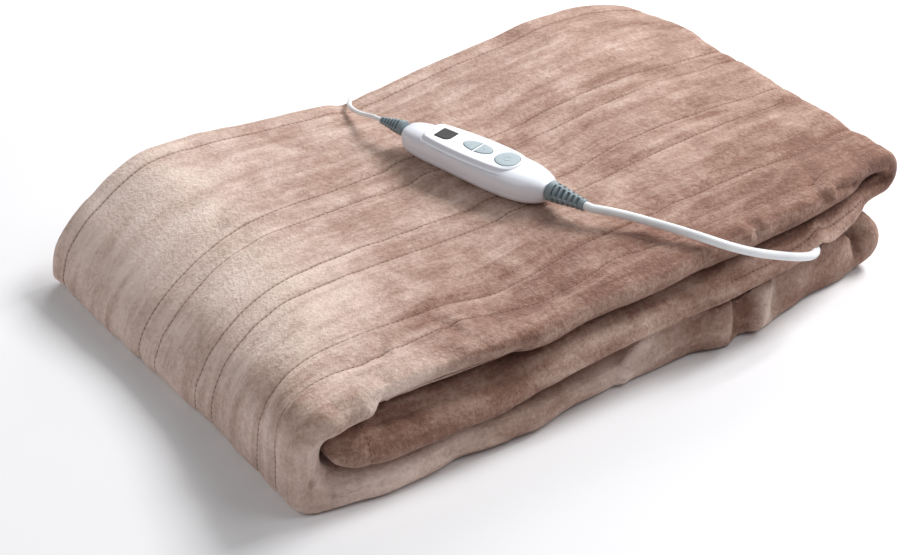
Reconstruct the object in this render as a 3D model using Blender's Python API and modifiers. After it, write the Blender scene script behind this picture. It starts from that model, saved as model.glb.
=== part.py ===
"""Heated over-blanket, folded into a block of layers, with its handset on top.

The blanket is one closed solid. A quilted strip, itself the blanket folded in
four across its width, runs back and forth: second layer, right-hand fold, top
layer, wrap round the left end, bottom layer, lower right-hand fold, third layer.
Metres, +Z up, +X towards the folds, +Y towards the hemmed back edge. The origin
is on the surface it rests on, under the middle of the blanket.
"""
import math
from collections import namedtuple

import bmesh
import bpy
import numpy as np
from mathutils import Matrix, Vector

MM = 0.001
SLIP = 0.3 * MM                 # clear gap between two pieces that touch

# ---------------------------------------------------------------- blanket sizes
LENGTH = 503 * MM               # left wrap to right-hand fold
WIDTH = 330 * MM                # front lips to back hem
LOWER_FOLD_X = 228 * MM         # how far out the lower right-hand fold reaches
SECOND_END_FRONT_X = -224 * MM  # free end of the second layer inside the left wrap
SECOND_END_BACK_X = -200 * MM   # and at the back, where the wrap leans in over it
SECOND_SLIM = 0.32              # share of its thickness that it loses there
THIRD_END_X = 4 * MM            # free end of the third layer, at mid-length
WRAP_FOOT_X = -238 * MM         # where the wrap meets the floor
WRAP_WIDEST_Z = 12 * MM         # height at which the wrap stands out furthest
WRAP_FOOT_POWER = 2.2           # how square its foot is
WRAP_THICK = 22 * MM            # cloth in the wrap at its widest
WRAP_HOLLOW_Z = 37 * MM         # middle height of the hollow inside it
WRAP_HOLLOW_X = -211 * MM       # where the hollow's floor starts to turn up
STITCH_DEPTH = 1.9 * MM         # how deep a stitched line is drawn in
PAIR_CROWN = 0.5 * MM           # swell of the quilt between the stitched lines
CROWN_OFFSET = 8 * MM           # from a stitched line to full loft
LIP_DROOP = 0.020               # share of its height that the front lips drop
DROOP_REACH = 30 * MM
EDGE_REACH = 75 * MM            # how far in from the hem its rise and fall is felt

# Layer thicknesses and the height of the second layer's underside, in mm.
Layers = namedtuple("Layers", "x bottom third under_second second top")
LAYERS = (
    Layers(-205, 22.5, 16.5, 26.5, 24.5, 22.5),
    Layers(-120, 24.5, 16.5, 27.0, 23.5, 22.5),
    Layers(-50, 21.0, 16.0, 34.5, 18.5, 19.0),
    Layers(10, 18.5, 15.5, 36.5, 18.0, 18.5),
    Layers(50, 18.5, 16.5, 38.0, 18.0, 18.5),
    Layers(85, 18.5, 18.0, 40.0, 18.5, 19.0),
    Layers(120, 19.0, 19.5, 42.0, 18.5, 19.0),
    Layers(160, 20.0, 21.0, 44.0, 17.5, 18.5),
    Layers(215, 20.5, 22.5, 46.0, 15.5, 16.5),
)

# The wrap round the left end, in mm: where the top starts to turn down, how far out
# it stands, and how square its shoulder is (2 is a plain ellipse).
Wrap = namedtuple("Wrap", "y top_x widest_x power")
WRAP = (
    Wrap(-150, -209, -251.5, 4.0),
    Wrap(-125, -196, -251.5, 3.6),
    Wrap(-100, -182, -250.0, 3.0),
    Wrap(-20, -157, -248.0, 1.9),
    Wrap(50, -152, -250.0, 1.6),
    Wrap(100, -160, -251.0, 1.7),
    Wrap(150, -172, -249.5, 1.95),
)

# Height of the hem along the back edge, in mm. It dips where the thin lead crosses it.
EDGE = ((-215, 67), (-168, 78), (-129, 76), (-89, 71), (-48, 67), (-28, 65), (-10, 60.5),
        (8, 62.5), (38, 66), (82, 70.5), (127, 74), (155, 78), (185, 77), (212, 75), (241, 68))

# How far each layer's front edge stands back from the front of the box, in mm.
Front = namedtuple("Front", "x top second bottom third")
FRONTS = (
    Front(-250, 17, 10, 17, 27),
    Front(-212, 13, 4, 6, 27),
    Front(-187, 11, 2, 2, 27),
    Front(-166, 11, 1, 1.5, 27),
    Front(-140, 12, 0, 3, 27),
    Front(-115, 12, 0, 1, 27),
    Front(-88, 10, 1, 0, 27),
    Front(-72, 9, 2, 1.5, 27),
    Front(-58, 8, 1, 4, 27),
    Front(-35, 8, 1, 6.5, 27),
    Front(0, 11, 2, 8, 27),
    Front(50, 10, 3, 9, 27),
    Front(66, 11, 2, 4, 27),
    Front(77, 12, 1, 2, 27),
    Front(92, 12, 1, 7, 27),
    Front(110, 11, 1, 5.5, 27),
    Front(130, 12, 3, 10, 28),
    Front(160, 13, 6, 15, 31),
    Front(195, 19, 15, 18, 33),
    Front(207, 22, 20, 21, 30),
    Front(218, 27, 26, 17, 19),
    Front(252, 33, 33, 27, 27),
)
APRON_RISE = ((-8, 0.0), (22, 1.0), (188, 1.0), (208, 0.0))
LIP_SLANT = ((-250, 0.5), (-190, 1.0), (170, 1.0), (225, 0.0))

# How far the back edge stands in at each end, in mm.
BACK_INSET = ((-250, 3), (-200, 0), (190, 0), (225, 5), (252, 16))

# Stitched lines of the quilt on the outer face, from the hem to the front, in mm,
# and how far each wanders at sections along the length.
STITCH_LINES = {"hem": 149.0, "1a": 51.9, "1b": 31.6, "2a": -19.8, "2b": -41.8,
                "3a": -106.5, "3b": -135.5}
WANDER_X = (-183, -110, -70, -30, 10, 50, 100, 180)
WANDER = {
    "hem": (0, 0, 0, 0, 0, 0, 0, 0),
    "1a": (-2, 2, 2, 2, 0, -3, -1, -2),
    "1b": (-1, 1, 0, -1, -2, -2, -2, -1),
    "2a": (1, 3, 2, 0, -2, -3, 2, -1),
    "2b": (2, 2, 1, 0, -1, -2, -2, -1),
    "3a": (1, -1, -4, -1, 2, 2, 2, 0),
    "3b": (3, 3, -1, -3, 2, -4, -7, -9),
}

# Soft swells and troughs of the whole stack, in mm.
Swell = namedtuple("Swell", "x y across_x across_y rise")
SWELLS = (
    Swell(22, -112, 55, 45, 3.0),
    Swell(38, 32, 48, 52, -1.5),
    Swell(-72, -118, 32, 34, -2.5),
    Swell(150, -5, 55, 50, 1.5),
    Swell(-150, 20, 50, 50, -1.0),
)
SWELL_TOP = 78.0                # the swells are shares of this height, in mm

# Cross-section of a layer's front edge: how far in from the lip, in mm, and the
# place in the thickness, from +0.5 on the outer face to -0.5 on the inner one.
Lip = namedtuple("Lip", "round_in round_at slant_in slant_at apron_in apron_at")
LIPS = (
    Lip(13.0, 0.500, 13.0, 0.500, 13.0, 0.500),
    Lip(5.0, 0.460, 4.0, 0.500, 4.5, 0.500),
    Lip(1.2, 0.300, 0.3, 0.400, 0.8, 0.340),
    Lip(0.0, 0.050, 2.6, 0.130, 0.0, -0.150),
    Lip(1.2, -0.220, 6.4, -0.130, 1.4, -0.800),
    Lip(4.2, -0.420, 10.6, -0.350, 5.0, -1.320),
    Lip(9.0, -0.490, 15.0, -0.460, 11.0, -1.120),
    Lip(15.5, -0.500, 21.0, -0.500, 14.5, -0.500),
)

# Cross-section of the back edge: two hems and the fold below them.
Hem = namedtuple("Hem", "inset at")
HEMS = (
    Hem(13.0, -0.500),
    Hem(5.0, -0.450),
    Hem(2.5, -0.270),
    Hem(4.5, -0.080),
    Hem(12.0, -0.030),
    Hem(3.5, 0.020),
    Hem(1.5, 0.110),
    Hem(3.0, 0.205),
    Hem(10.0, 0.240),
    Hem(1.2, 0.285),
    Hem(0.0, 0.390),
    Hem(2.5, 0.490),
)
INNER_FACE_Y = (-95, -45, 5, 60, 110)

Run = namedtuple("Run", "name steps")
RUNS = (Run("second", 16), Run("upper_fold", 8), Run("top", 19), Run("wrap", 13),
        Run("bottom", 21), Run("lower_fold", 8), Run("third", 7))
DRAPE_X = (66, 77, 85, 93, 101, 110, 119)      # extra sections through the hanging folds, in mm
TRENCH_STEPS = (-13, -6.5, 0, 6.5, 13)         # and either side of the lead's trench
END_ROUND = ((0.0, 0.46), (2.0, 0.78), (6.0, 0.95), (13.0, 1.0))   # mm from the end, share

# ---------------------------------------------------------------- handset sizes
HANDSET_X = -5.0 * MM
HANDSET_Y = 8.0 * MM
HANDSET_TURN = math.radians(-74.5)     # the control end points at the front right
SEAT_Z = 77.0 * MM                     # flat place that the handset presses in the pile
SEAT_LENGTH = 128 * MM
SEAT_WIDTH = 40 * MM
SEAT_EDGE = 14 * MM
BODY_SEAM_Z = 8.5 * MM
BODY_SQUARE = 3.0                      # superellipse power of the body's section

Body = namedtuple("Body", "u half_width low high")
BODY = (
    Body(-62.0, 1.5, 10.5, 13.0),
    Body(-61.0, 5.4, 6.8, 15.8),
    Body(-58.0, 8.8, 3.8, 18.0),
    Body(-52.5, 11.2, 1.7, 19.4),
    Body(-45.0, 12.6, 0.6, 20.4),
    Body(-34.0, 13.4, 0.0, 21.0),
    Body(-16.0, 14.8, 0.0, 21.4),
    Body(4.0, 16.6, 0.0, 21.6),
    Body(20.0, 17.5, 0.0, 21.6),
    Body(32.0, 17.3, 0.1, 21.6),
    Body(42.0, 16.2, 0.4, 21.4),
    Body(50.0, 14.0, 1.2, 20.8),
    Body(56.0, 11.4, 2.6, 19.8),
    Body(59.8, 9.2, 4.4, 18.8),
    Body(61.0, 7.8, 5.4, 18.0),
)
BODY_RING = 28

PLATE_BACK_U = -41.0 * MM
PLATE_FRONT_U = 36.8 * MM
PLATE_BACK_HALF = 10.6 * MM
PLATE_MID_HALF = 13.6 * MM
PLATE_FRONT_HALF = 12.6 * MM
PLATE_TOP_Z = 22.4 * MM
PLATE_THICK = 4.6 * MM
DISPLAY_U = -26.5 * MM
DISPLAY_SIDE = 12.0 * MM
DISPLAY_THICK = 1.0 * MM
KEYS_U = 1.0 * MM
KEYS_HALF_LENGTH = 11.6 * MM
KEYS_HALF_WIDTH = 5.8 * MM
KEYS_SPLIT = 1.6 * MM
POWER_U = 26.0 * MM
POWER_RADIUS = 8.6 * MM
KEY_THICK = 2.6 * MM
KEY_PROUD = 0.4 * MM
KEY_TRAVEL = 0.6 * MM
KEY_CLEAR = 0.35 * MM

# ---------------------------------------------------------------- leads
MAINS_RADIUS = 3.0 * MM
THIN_RADIUS = 1.6 * MM
MAINS_RELIEF = (29.0 * MM, 6.9 * MM, 4.2 * MM)     # length, radius at the root and at the tip
THIN_RELIEF = (21.0 * MM, 5.4 * MM, 2.7 * MM)
RELIEF_RIBS = 5
RELIEF_SIDES = 12
MAINS_EXIT_Z = 12.2 * MM               # height of the exits over the seat
THIN_EXIT_Z = 13.4 * MM

# Routes in mm. Each starts straight out of its relief, so the table starts after it.
MAINS_ROUTE = (
    (30.5, -94, 88.0), (38, -106, 86.6), (46, -120, 85.9), (55.5, -137.5, 85.4),
    (62, -148, 83.9), (70, -156.5, 80.4), (81, -162, 74.8), (95, -165, 68.4),
    (110, -166.5, 62.2), (124, -167.5, 56.2), (136, -167.5, 51.0), (146.5, -165.8, 47.2),
    (154.5, -161.0, 44.4), (160.0, -152.0, 42.6),
)
HIDDEN_Y = (-138, -122, -100, -75, -50, -25, 0, 25, 50, 75, 100, 125, 142, 154, 164)
MAINS_DROP = ((161.8, 172, 40.0), (160, 177, 31.5), (156, 180, 21.5), (150.5, 182.5, 13.9))
THIN_ROUTE = (
    (-27.6, 97.0, 88.4), (-27.3, 103.0, 86.2), (-26.5, 110.5, 83.2), (-24.8, 119.3, 79.8),
    (-22.8, 127.6, 76.8), (-19.9, 137.1, 73.6), (-16.7, 145.2, 71.0), (-13.2, 151.2, 69.2),
    (-8.8, 156.6, 67.6), (-4.6, 162.0, 66.0), (-1.6, 166.9, 62.6), (-0.8, 169.9, 57.4),
    (-2.4, 171.9, 50.8), (-6.0, 174.6, 44.6), (-11.4, 177.8, 39.2), (-18.0, 180.2, 34.6),
    (-24.2, 179.8, 30.4), (-28.6, 175.9, 27.0),
)
MAINS_COIL_AT = (166 * MM, 209 * MM)
MAINS_COIL_MID = 31.5 * MM             # radius at the middle of the turns
MAINS_COIL_WIDE = 3                    # turns side by side
MAINS_COIL_HIGH = 2
COIL_LIFT = 0.2 * MM
COIL_SIDES = 28
TRENCH_X = 162 * MM                    # where the mains lead runs between the layers
TRENCH_HALF = 7.0 * MM
TRENCH_LEAN = 6.0 * MM                 # how far it bends to the left under the front lip
TRENCH_UP = 6.0 * MM                   # how far the lead lifts the layer over it
TRENCH_DOWN = 2.3 * MM                 # and presses the one under it

GLAND_AT = (-30 * MM, 161.5 * MM, 24.5 * MM)   # where the thin lead enters the back edge
GLAND_SIZE = (11 * MM, 9 * MM, 6 * MM)
PLUG_AT = (70 * MM, 185 * MM)          # where the pins leave the plug
PLUG_TAIL = ((138.95, 174.65, 3.5), (131.5, 178.6, 4.2), (123.5, 182.4, 5.6), (114.5, 184.6, 6.9),
             (106.4, 185.0, 7.1))
PLUG_LENGTH = 36 * MM
PLUG_HALF_WIDTH = 17.6 * MM
PLUG_HALF_THICK = 6.9 * MM
PIN_RADIUS = 2.0 * MM
PIN_LENGTH = 19 * MM
PIN_SPACING = 18.6 * MM

# Colours, sRGB hex, with roughness.
FINISHES = {
    "fleece": ("#B8968A", 0.95),
    "housing_white": ("#F1F2F4", 0.35),
    "key_grey": ("#AFC0C5", 0.45),
    "display_black": ("#2B2B2D", 0.15),
    "relief_grey": ("#83949B", 0.55),
    "lead_white": ("#F0F1F2", 0.40),
    "pin_metal": ("#C9CBCC", 0.25),
}


# ---------------------------------------------------------------- small helpers
def linear(channel):
    """One sRGB channel, 0 to 1, as linear light."""
    return channel / 12.92 if channel <= 0.04045 else ((channel + 0.055) / 1.055) ** 2.4


def make_material(name, finish, metallic=0.0):
    """A plain Principled material from a row of FINISHES."""
    code, roughness = FINISHES[finish]
    material = bpy.data.materials.new(name)
    material.use_nodes = True
    shader = material.node_tree.nodes["Principled BSDF"]
    rgb = [linear(int(code[i:i + 2], 16) / 255.0) for i in (1, 3, 5)]
    shader.inputs["Base Color"].default_value = (*rgb, 1.0)
    shader.inputs["Roughness"].default_value = roughness
    shader.inputs["Metallic"].default_value = metallic
    return material


def smooth_between(xs, values, x):
    """A cubic through the rows of a table that never overshoots them, level beyond its ends."""
    xs = np.asarray(xs, dtype=float)
    values = np.asarray(values, dtype=float)
    secant = np.diff(values) / np.diff(xs)
    before, after = secant[:-1], secant[1:]
    agree = before * after > 0
    inner = np.where(agree, 2 * before * after / np.where(agree, before + after, 1.0), 0.0)
    return cubic(xs, values, np.concatenate([secant[:1], inner, secant[-1:]]), x)


def cubic(xs, values, slope, x):
    """A piecewise cubic with the given values and slopes at xs, read at x."""
    x = np.clip(x, xs[0], xs[-1])
    i = np.clip(np.searchsorted(xs, x, side="right") - 1, 0, len(xs) - 2)
    step = xs[i + 1] - xs[i]
    t = (x - xs[i]) / step
    rise = (1 + 2 * t) * (1 - t) ** 2 * values[i] + t * t * (3 - 2 * t) * values[i + 1]
    return rise + t * (1 - t) ** 2 * step * slope[i] + t * t * (t - 1) * step * slope[i + 1]


def column(table, name, x):
    """A named column of a table read at x, both given in mm, as metres."""
    return smooth_between([row.x for row in table], [getattr(row, name) for row in table], x) * MM


def pairs(table, x):
    """A table of (x, value) rows read at x in mm."""
    return smooth_between([row[0] for row in table], [row[1] for row in table], x)


def smoothstep(low, high, value):
    """0 below low, 1 above high, smooth between."""
    t = np.clip((value - low) / (high - low), 0.0, 1.0)
    return t * t * (3 - 2 * t)


def link(mesh, name, material, collection):
    """A new object for a mesh, in a collection, with its material."""
    obj = bpy.data.objects.new(name, mesh)
    collection.objects.link(obj)
    mesh.materials.clear()
    mesh.materials.append(material)
    return obj


def grid_mesh(name, points):
    """A closed tube of quads through rings of points, capped at both ends."""
    rings, around = points.shape[:2]
    index = np.arange(rings * around).reshape(rings, around)
    nxt = np.roll(index, -1, axis=1)
    quads = np.stack([index[:-1], index[1:], nxt[1:], nxt[:-1]], axis=-1).reshape(-1, 4)
    faces = quads.tolist()
    faces.append(index[0].tolist())
    faces.append(index[-1][::-1].tolist())
    return mesh_of(name, points.reshape(-1, 3).tolist(), [], faces)


def mesh_of(name, points, edges, faces):
    """A mesh with its faces turned the same way out."""
    mesh = bpy.data.meshes.new(name)
    mesh.from_pydata(points, edges, faces)
    bm = bmesh.new()
    bm.from_mesh(mesh)
    bmesh.ops.recalc_face_normals(bm, faces=bm.faces)
    bm.to_mesh(mesh)
    bm.free()
    return mesh


# ---------------------------------------------------------------- the blanket
def ring_template():
    """The layer's cross-section: y in m, place in the thickness, draw-in and line.

    It starts at the front lip's outer corner, passes the lip, the inner face, the
    back hems and returns along the quilted outer face.
    """
    half = WIDTH / 2
    rows = [("lip", i, 0.0, 0.0) for i in range(len(LIPS))]
    rows += [("face", y * MM, -0.5, 0.0) for y in INNER_FACE_Y]
    rows += [("hem", half - hem.inset * MM, hem.at, 0.0) for hem in HEMS]
    lines = list(STITCH_LINES.items())
    for (line, y), following in zip(lines, lines[1:] + [(None, None)]):
        rows.append(("stitch_" + line, y * MM, 0.5, -STITCH_DEPTH))
        if following[0] is None:
            break
        gap = y - following[1]
        if gap < 35:
            rows.append(("crown", (y - gap / 2) * MM, 0.5, PAIR_CROWN))
        else:
            rows.append(("crown", y * MM - CROWN_OFFSET, 0.5, 0.0))
            rows.append(("crown", (y - gap / 2) * MM, 0.5, PAIR_CROWN))
            rows.append(("crown", following[1] * MM + CROWN_OFFSET, 0.5, 0.0))
    return rows


def run_positions():
    """Each run's name with the shares along it at which its sections stand."""
    upper_x, lower_x = fold_roots()
    trench = TRENCH_X + np.array(TRENCH_STEPS) * MM
    ends = np.array([row[0] for row in END_ROUND]) * MM
    second_end = (SECOND_END_FRONT_X + SECOND_END_BACK_X) / 2
    extra = {
        "second": np.concatenate([ends, trench - second_end]) / (upper_x - second_end),
        "bottom": (np.array(DRAPE_X) * MM - WRAP_FOOT_X) / (lower_x - WRAP_FOOT_X),
        "third": 1.0 - np.concatenate([ends, trench - THIRD_END_X]) / (lower_x - THIRD_END_X),
    }
    sections = []
    for run in RUNS:
        if run.name in ("second", "third"):
            shares = np.linspace(0.0, 1.0, run.steps)
        else:
            shares = np.linspace(0.0, 1.0, run.steps + 2)[1:-1]
        if run.name in extra:
            near = 0.45 / run.steps
            clear = [s for s in shares if np.min(np.abs(extra[run.name] - s)) > near]
            shares = np.sort(np.concatenate([clear, extra[run.name]]))
        sections.append((run.name, shares))
    return sections


def fold_roots():
    """Where the upper and the lower right-hand folds start to turn."""
    levels = layer_levels(LENGTH / 2)
    roots = []
    for low, high, reach_x in (("second", "top", LENGTH / 2), ("bottom", "third", LOWER_FOLD_X)):
        reach = (levels[high][0] - levels[low][0]) / 2
        roots.append(reach_x - reach - (levels[high][1] + levels[low][1]) / 4)
    return roots


def layer_levels(x):
    """Middle heights and thicknesses of the four layers at x, in metres."""
    mm = np.asarray(x) / MM
    bottom = column(LAYERS, "bottom", mm)
    third = column(LAYERS, "third", mm)
    second = column(LAYERS, "second", mm)
    top = column(LAYERS, "top", mm)
    under_second = column(LAYERS, "under_second", mm)
    gap = 1.5 * MM
    return {
        "bottom": (bottom / 2, bottom),
        "third": (bottom + gap + third / 2, third),
        "second": (under_second + second / 2, second),
        "top": (under_second + second + gap + top / 2, top),
    }


def fold_arc(share, low, high, start_x, reach):
    """Half an ellipse that turns from one layer up to the next, bulging to +X."""
    angle = (share - 0.5) * math.pi
    middle = (low + high) / 2
    return start_x + reach * np.cos(angle), middle + (high - low) / 2 * np.sin(angle)


def wrap_at(y):
    """The wrap's row of sizes at each y: start of the turn, widest x and power."""
    rows = [row.y for row in WRAP]
    values = [smooth_between(rows, [getattr(row, name) for row in WRAP], y / MM)
              for name in ("top_x", "widest_x", "power")]
    return values[0] * MM, values[1] * MM, values[2]


def layer_path(run, share, y):
    """Middle of the layer at a share of a run, for each y: x, z and thickness."""
    upper_x, lower_x = fold_roots()
    if run in ("second", "third"):
        back = smoothstep(-WIDTH / 2, WIDTH / 2, y)
        second_end = SECOND_END_FRONT_X + (SECOND_END_BACK_X - SECOND_END_FRONT_X) * back
        end = second_end if run == "second" else THIRD_END_X + 0 * y
        root = upper_x if run == "second" else lower_x
        x = end + (root - end) * (share if run == "second" else 1 - share)
        middle, thick = layer_levels(x)[run]
        if run == "second":
            lost = thick * SECOND_SLIM * back * (1.0 - smoothstep(-200 * MM, -140 * MM, x))
            middle, thick = middle - lost / 2, thick - lost
        from_end = np.abs(x - end) / MM
        return x, middle, thick * np.interp(from_end, *zip(*END_ROUND))
    if run == "top":
        x = upper_x + (wrap_at(y)[0] - upper_x) * share
        return x, *layer_levels(x)["top"]
    if run == "bottom":
        x = WRAP_FOOT_X + (lower_x - WRAP_FOOT_X) * share + 0 * y
        return x, *layer_levels(x)["bottom"]
    pair = ("second", "top") if run == "upper_fold" else ("bottom", "third")
    start = upper_x if run == "upper_fold" else lower_x
    levels = layer_levels(start)
    low, high = levels[pair[0]], levels[pair[1]]
    x, z = fold_arc(share, low[0], high[0], start, (high[0] - low[0]) / 2)
    return x + 0 * y, z + 0 * y, low[1] + (high[1] - low[1]) * share + 0 * y


def wrap_faces(share, y):
    """Outer and inner face of the left wrap at a share of its turn."""
    top_x, widest_x, power = wrap_at(y)
    top_middle, top_thick = layer_levels(top_x)["top"]
    foot_thick = layer_levels(WRAP_FOOT_X + 0 * y)["bottom"][1]
    inner_x = widest_x + WRAP_THICK
    sin, cos = math.sin(share * math.pi), math.cos(share * math.pi)
    if share <= 0.5:
        across, up = sin ** (2 / power), max(cos, 0.0) ** (2 / power)
        outer = (top_x - (top_x - widest_x) * across,
                 WRAP_WIDEST_Z + (top_middle + top_thick / 2 - WRAP_WIDEST_Z) * up)
        inner = (top_x - (top_x - inner_x) * across,
                 WRAP_HOLLOW_Z + (top_middle - top_thick / 2 - WRAP_HOLLOW_Z) * up)
    else:
        across, down = sin ** (2 / WRAP_FOOT_POWER), (-cos) ** (2 / WRAP_FOOT_POWER)
        outer = (WRAP_FOOT_X - (WRAP_FOOT_X - widest_x) * across, WRAP_WIDEST_Z * (1 - down))
        inner = (WRAP_HOLLOW_X - (WRAP_HOLLOW_X - inner_x) * sin,
                 WRAP_HOLLOW_Z + (WRAP_HOLLOW_Z - foot_thick) * cos)
    return outer, inner


def layer_faces(run, share, y):
    """Outer and inner face of the layer at a share of a run: two pairs of x and z."""
    if run == "wrap":
        return wrap_faces(share, y)
    nudge = 0.004
    x, z, thick = layer_path(run, share, y)
    before = layer_path(run, max(share - nudge, 0.0), y)
    after = layer_path(run, min(share + nudge, 1.0), y)
    along_x, along_z = after[0] - before[0], after[1] - before[1]
    size = np.hypot(along_x, along_z) * 2 / thick
    out_x, out_z = along_z / size, -along_x / size
    inner_x = x - out_x
    if run == "bottom":
        near = 1.0 - smoothstep(WRAP_FOOT_X, WRAP_FOOT_X + 90 * MM, x)
        inner_x = inner_x + (WRAP_HOLLOW_X - WRAP_FOOT_X) * near
    return (x + out_x, z + out_z), (inner_x, z - out_z)


def layer_blend(run, share):
    """How much of the top, second, third and bottom layer a station belongs to."""
    weights = dict.fromkeys(("top", "second", "third", "bottom"), 0.0)
    turning = {"upper_fold": ("second", "top"), "wrap": ("top", "bottom"),
               "lower_fold": ("bottom", "third")}
    if run in weights:
        weights[run] = 1.0
    else:
        start, end = turning[run]
        weights[start] = 1.0 - float(smoothstep(0.0, 1.0, share))
        weights[end] = 1.0 - weights[start]
    return weights


def front_edge(weights, x):
    """Where the lip stands, as y, and its slant and apron shares, at x."""
    mm = x / MM
    inset = sum(weight * column(FRONTS, name, mm) for name, weight in weights.items())
    slant = weights["second"] * pairs(LIP_SLANT, mm)
    apron = weights["bottom"] * pairs(APRON_RISE, mm)
    return -WIDTH / 2 + inset, slant, apron


def stack_swell(x, y):
    """Share by which the stack stands higher or lower at a place."""
    rise = np.zeros_like(x)
    for swell in SWELLS:
        reach = ((x / MM - swell.x) / swell.across_x) ** 2 + ((y / MM - swell.y) / swell.across_y) ** 2
        rise = rise + swell.rise * np.exp(-reach)
    levels = layer_levels(x)["top"]
    hem = pairs(EDGE, x / MM) * MM / (levels[0] + 0.4 * levels[1]) - 1.0
    back = smoothstep(WIDTH / 2 - EDGE_REACH, WIDTH / 2, y)
    front = LIP_DROOP * smoothstep(WIDTH / 2 - DROOP_REACH, WIDTH / 2, -y)
    return rise / SWELL_TOP * (1.0 - back) + hem * back - front


def handset_seat(x, y):
    """1 where the handset presses the pile flat, 0 well outside its outline."""
    cos, sin = math.cos(HANDSET_TURN), math.sin(HANDSET_TURN)
    along = (x - HANDSET_X) * cos + (y - HANDSET_Y) * sin
    across = -(x - HANDSET_X) * sin + (y - HANDSET_Y) * cos
    beyond = np.hypot(np.maximum(np.abs(along) - SEAT_LENGTH / 2 + SEAT_WIDTH / 2, 0.0), across)
    return 1.0 - smoothstep(SEAT_WIDTH / 2, SEAT_WIDTH / 2 + SEAT_EDGE, beyond)


def lead_trench(x, y):
    """1 along the middle of the mains lead's way between the layers, 0 away from it."""
    lean = TRENCH_LEAN * smoothstep(WIDTH / 2 - 30 * MM, WIDTH / 2 - 3 * MM, -y)
    return np.exp(-((x - TRENCH_X + lean) / TRENCH_HALF) ** 2)


def station_points(run, share, rows):
    """The ring of points of one station, as rows of x, y, z."""
    weights = layer_blend(run, share)
    half = WIDTH / 2
    guess_y = np.array([0.0 if row[0] == "lip" else row[1] for row in rows])
    outer, inner = layer_faces(run, share, guess_y)
    x_guess = (outer[0] + inner[0]) / 2
    lip_y, slant, apron = front_edge(weights, x_guess)
    y = np.zeros(len(rows))
    at = np.zeros(len(rows))
    draw = np.array([row[3] for row in rows])
    back_in = pairs(BACK_INSET, x_guess / MM) * MM
    for i, row in enumerate(rows):
        if row[0] == "lip":
            lip = LIPS[row[1]]
            plain = 1.0 - slant[i] - apron[i]
            inset = plain * lip.round_in + slant[i] * lip.slant_in + apron[i] * lip.apron_in
            y[i] = lip_y[i] + inset * MM
            at[i] = plain * lip.round_at + slant[i] * lip.slant_at + apron[i] * lip.apron_at
            continue
        at[i] = row[2]
        wander = 0.0
        if row[0].startswith("stitch_"):
            wander = smooth_between(WANDER_X, WANDER[row[0][7:]], x_guess[i] / MM) * MM
        spread = smoothstep(0.0, half, abs(row[1]))
        squeeze = 0.75 * spread + 0.25 * smoothstep(half - 60 * MM, half - 15 * MM, abs(row[1]))
        shift = -back_in[i] * spread if row[1] > 0 else (lip_y[i] + half) * squeeze
        y[i] = row[1] + wander * (1.0 - weights["third"]) + shift
    if weights["bottom"] > 0:
        draw = np.where(draw > 0, draw * (1 - weights["bottom"]), draw)
    outer, inner = layer_faces(run, share, y)
    thick = np.hypot(outer[0] - inner[0], outer[1] - inner[1])
    depth = 0.5 - at - draw / thick
    px = outer[0] + (inner[0] - outer[0]) * depth
    pz = outer[1] + (inner[1] - outer[1]) * depth
    if weights["bottom"] == 1.0:
        pz = np.maximum(pz, 0.0)
    trench = lead_trench(px, y)
    if run == "second":
        pz = pz + TRENCH_UP * trench * (at > -0.4)
    if run == "third":
        pz = pz - TRENCH_DOWN * trench * (at > 0)
    if run == "bottom":
        pz = pz - TRENCH_DOWN * trench * (at < -0.6)
    pz = pz * (1.0 + stack_swell(px, y))
    if run == "top":
        seat = handset_seat(px, y) * (at > 0)
        pz = pz + seat * (SEAT_Z - SLIP + draw * 0.3 - pz)
    return np.stack([px, y, pz], axis=-1)


def folded_blanket(collection):
    """The whole folded blanket as one closed solid."""
    rows = ring_template()
    stations = []
    for run, shares in run_positions():
        stations += [station_points(run, share, rows) for share in shares]
    mesh = grid_mesh("blanket", np.array(stations))
    obj = link(mesh, "blanket", make_material("fleece", "fleece"), collection)
    return obj


# ---------------------------------------------------------------- the handset
def handset_frame():
    """Turns a point in the handset's own frame into the blanket's."""
    place = Matrix.Translation((HANDSET_X, HANDSET_Y, SEAT_Z))
    return place @ Matrix.Rotation(HANDSET_TURN, 4, "Z")


def superellipse(half_y, low, high, power, count):
    """A closed ring in y and z, flat-sided as the power grows."""
    angle = np.linspace(0, 2 * math.pi, count, endpoint=False) + math.pi / count
    cos, sin = np.cos(angle), np.sin(angle)
    y = half_y * np.sign(cos) * np.abs(cos) ** (2 / power)
    z = (low + high) / 2 + (high - low) / 2 * np.sign(sin) * np.abs(sin) ** (2 / power)
    return y, z


def body_mesh():
    """The housing as one loft along its length, in its own frame."""
    fine_u = np.array(sorted({b.u for b in BODY} | {-25.0, -6.0, 12.0}))
    rings = []
    for u in fine_u:
        values = [smooth_between([b.u for b in BODY], [getattr(b, key) for b in BODY], u) * MM
                  for key in ("half_width", "low", "high")]
        y, z = superellipse(values[0], values[1], values[2], BODY_SQUARE, BODY_RING)
        rings.append(np.stack([np.full(BODY_RING, u * MM), y, z], axis=-1))
    return grid_mesh("handset_body", np.array(rings))


def half_body(source, name, height, keep_above, material, collection):
    """One half of the housing, cut level at a height and closed again."""
    bm = bmesh.new()
    bm.from_mesh(source)
    cut = bmesh.ops.bisect_plane(bm, geom=bm.verts[:] + bm.edges[:] + bm.faces[:],
                                 plane_co=(0, 0, height), plane_no=(0, 0, 1),
                                 clear_outer=not keep_above, clear_inner=keep_above)
    rim = [e for e in cut["geom_cut"] if isinstance(e, bmesh.types.BMEdge)]
    bmesh.ops.holes_fill(bm, edges=rim, sides=0)
    bmesh.ops.recalc_face_normals(bm, faces=bm.faces)
    mesh = bpy.data.meshes.new(name)
    bm.to_mesh(mesh)
    bm.free()
    obj = link(mesh, name, material, collection)
    obj.matrix_world = handset_frame()
    return obj


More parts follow.
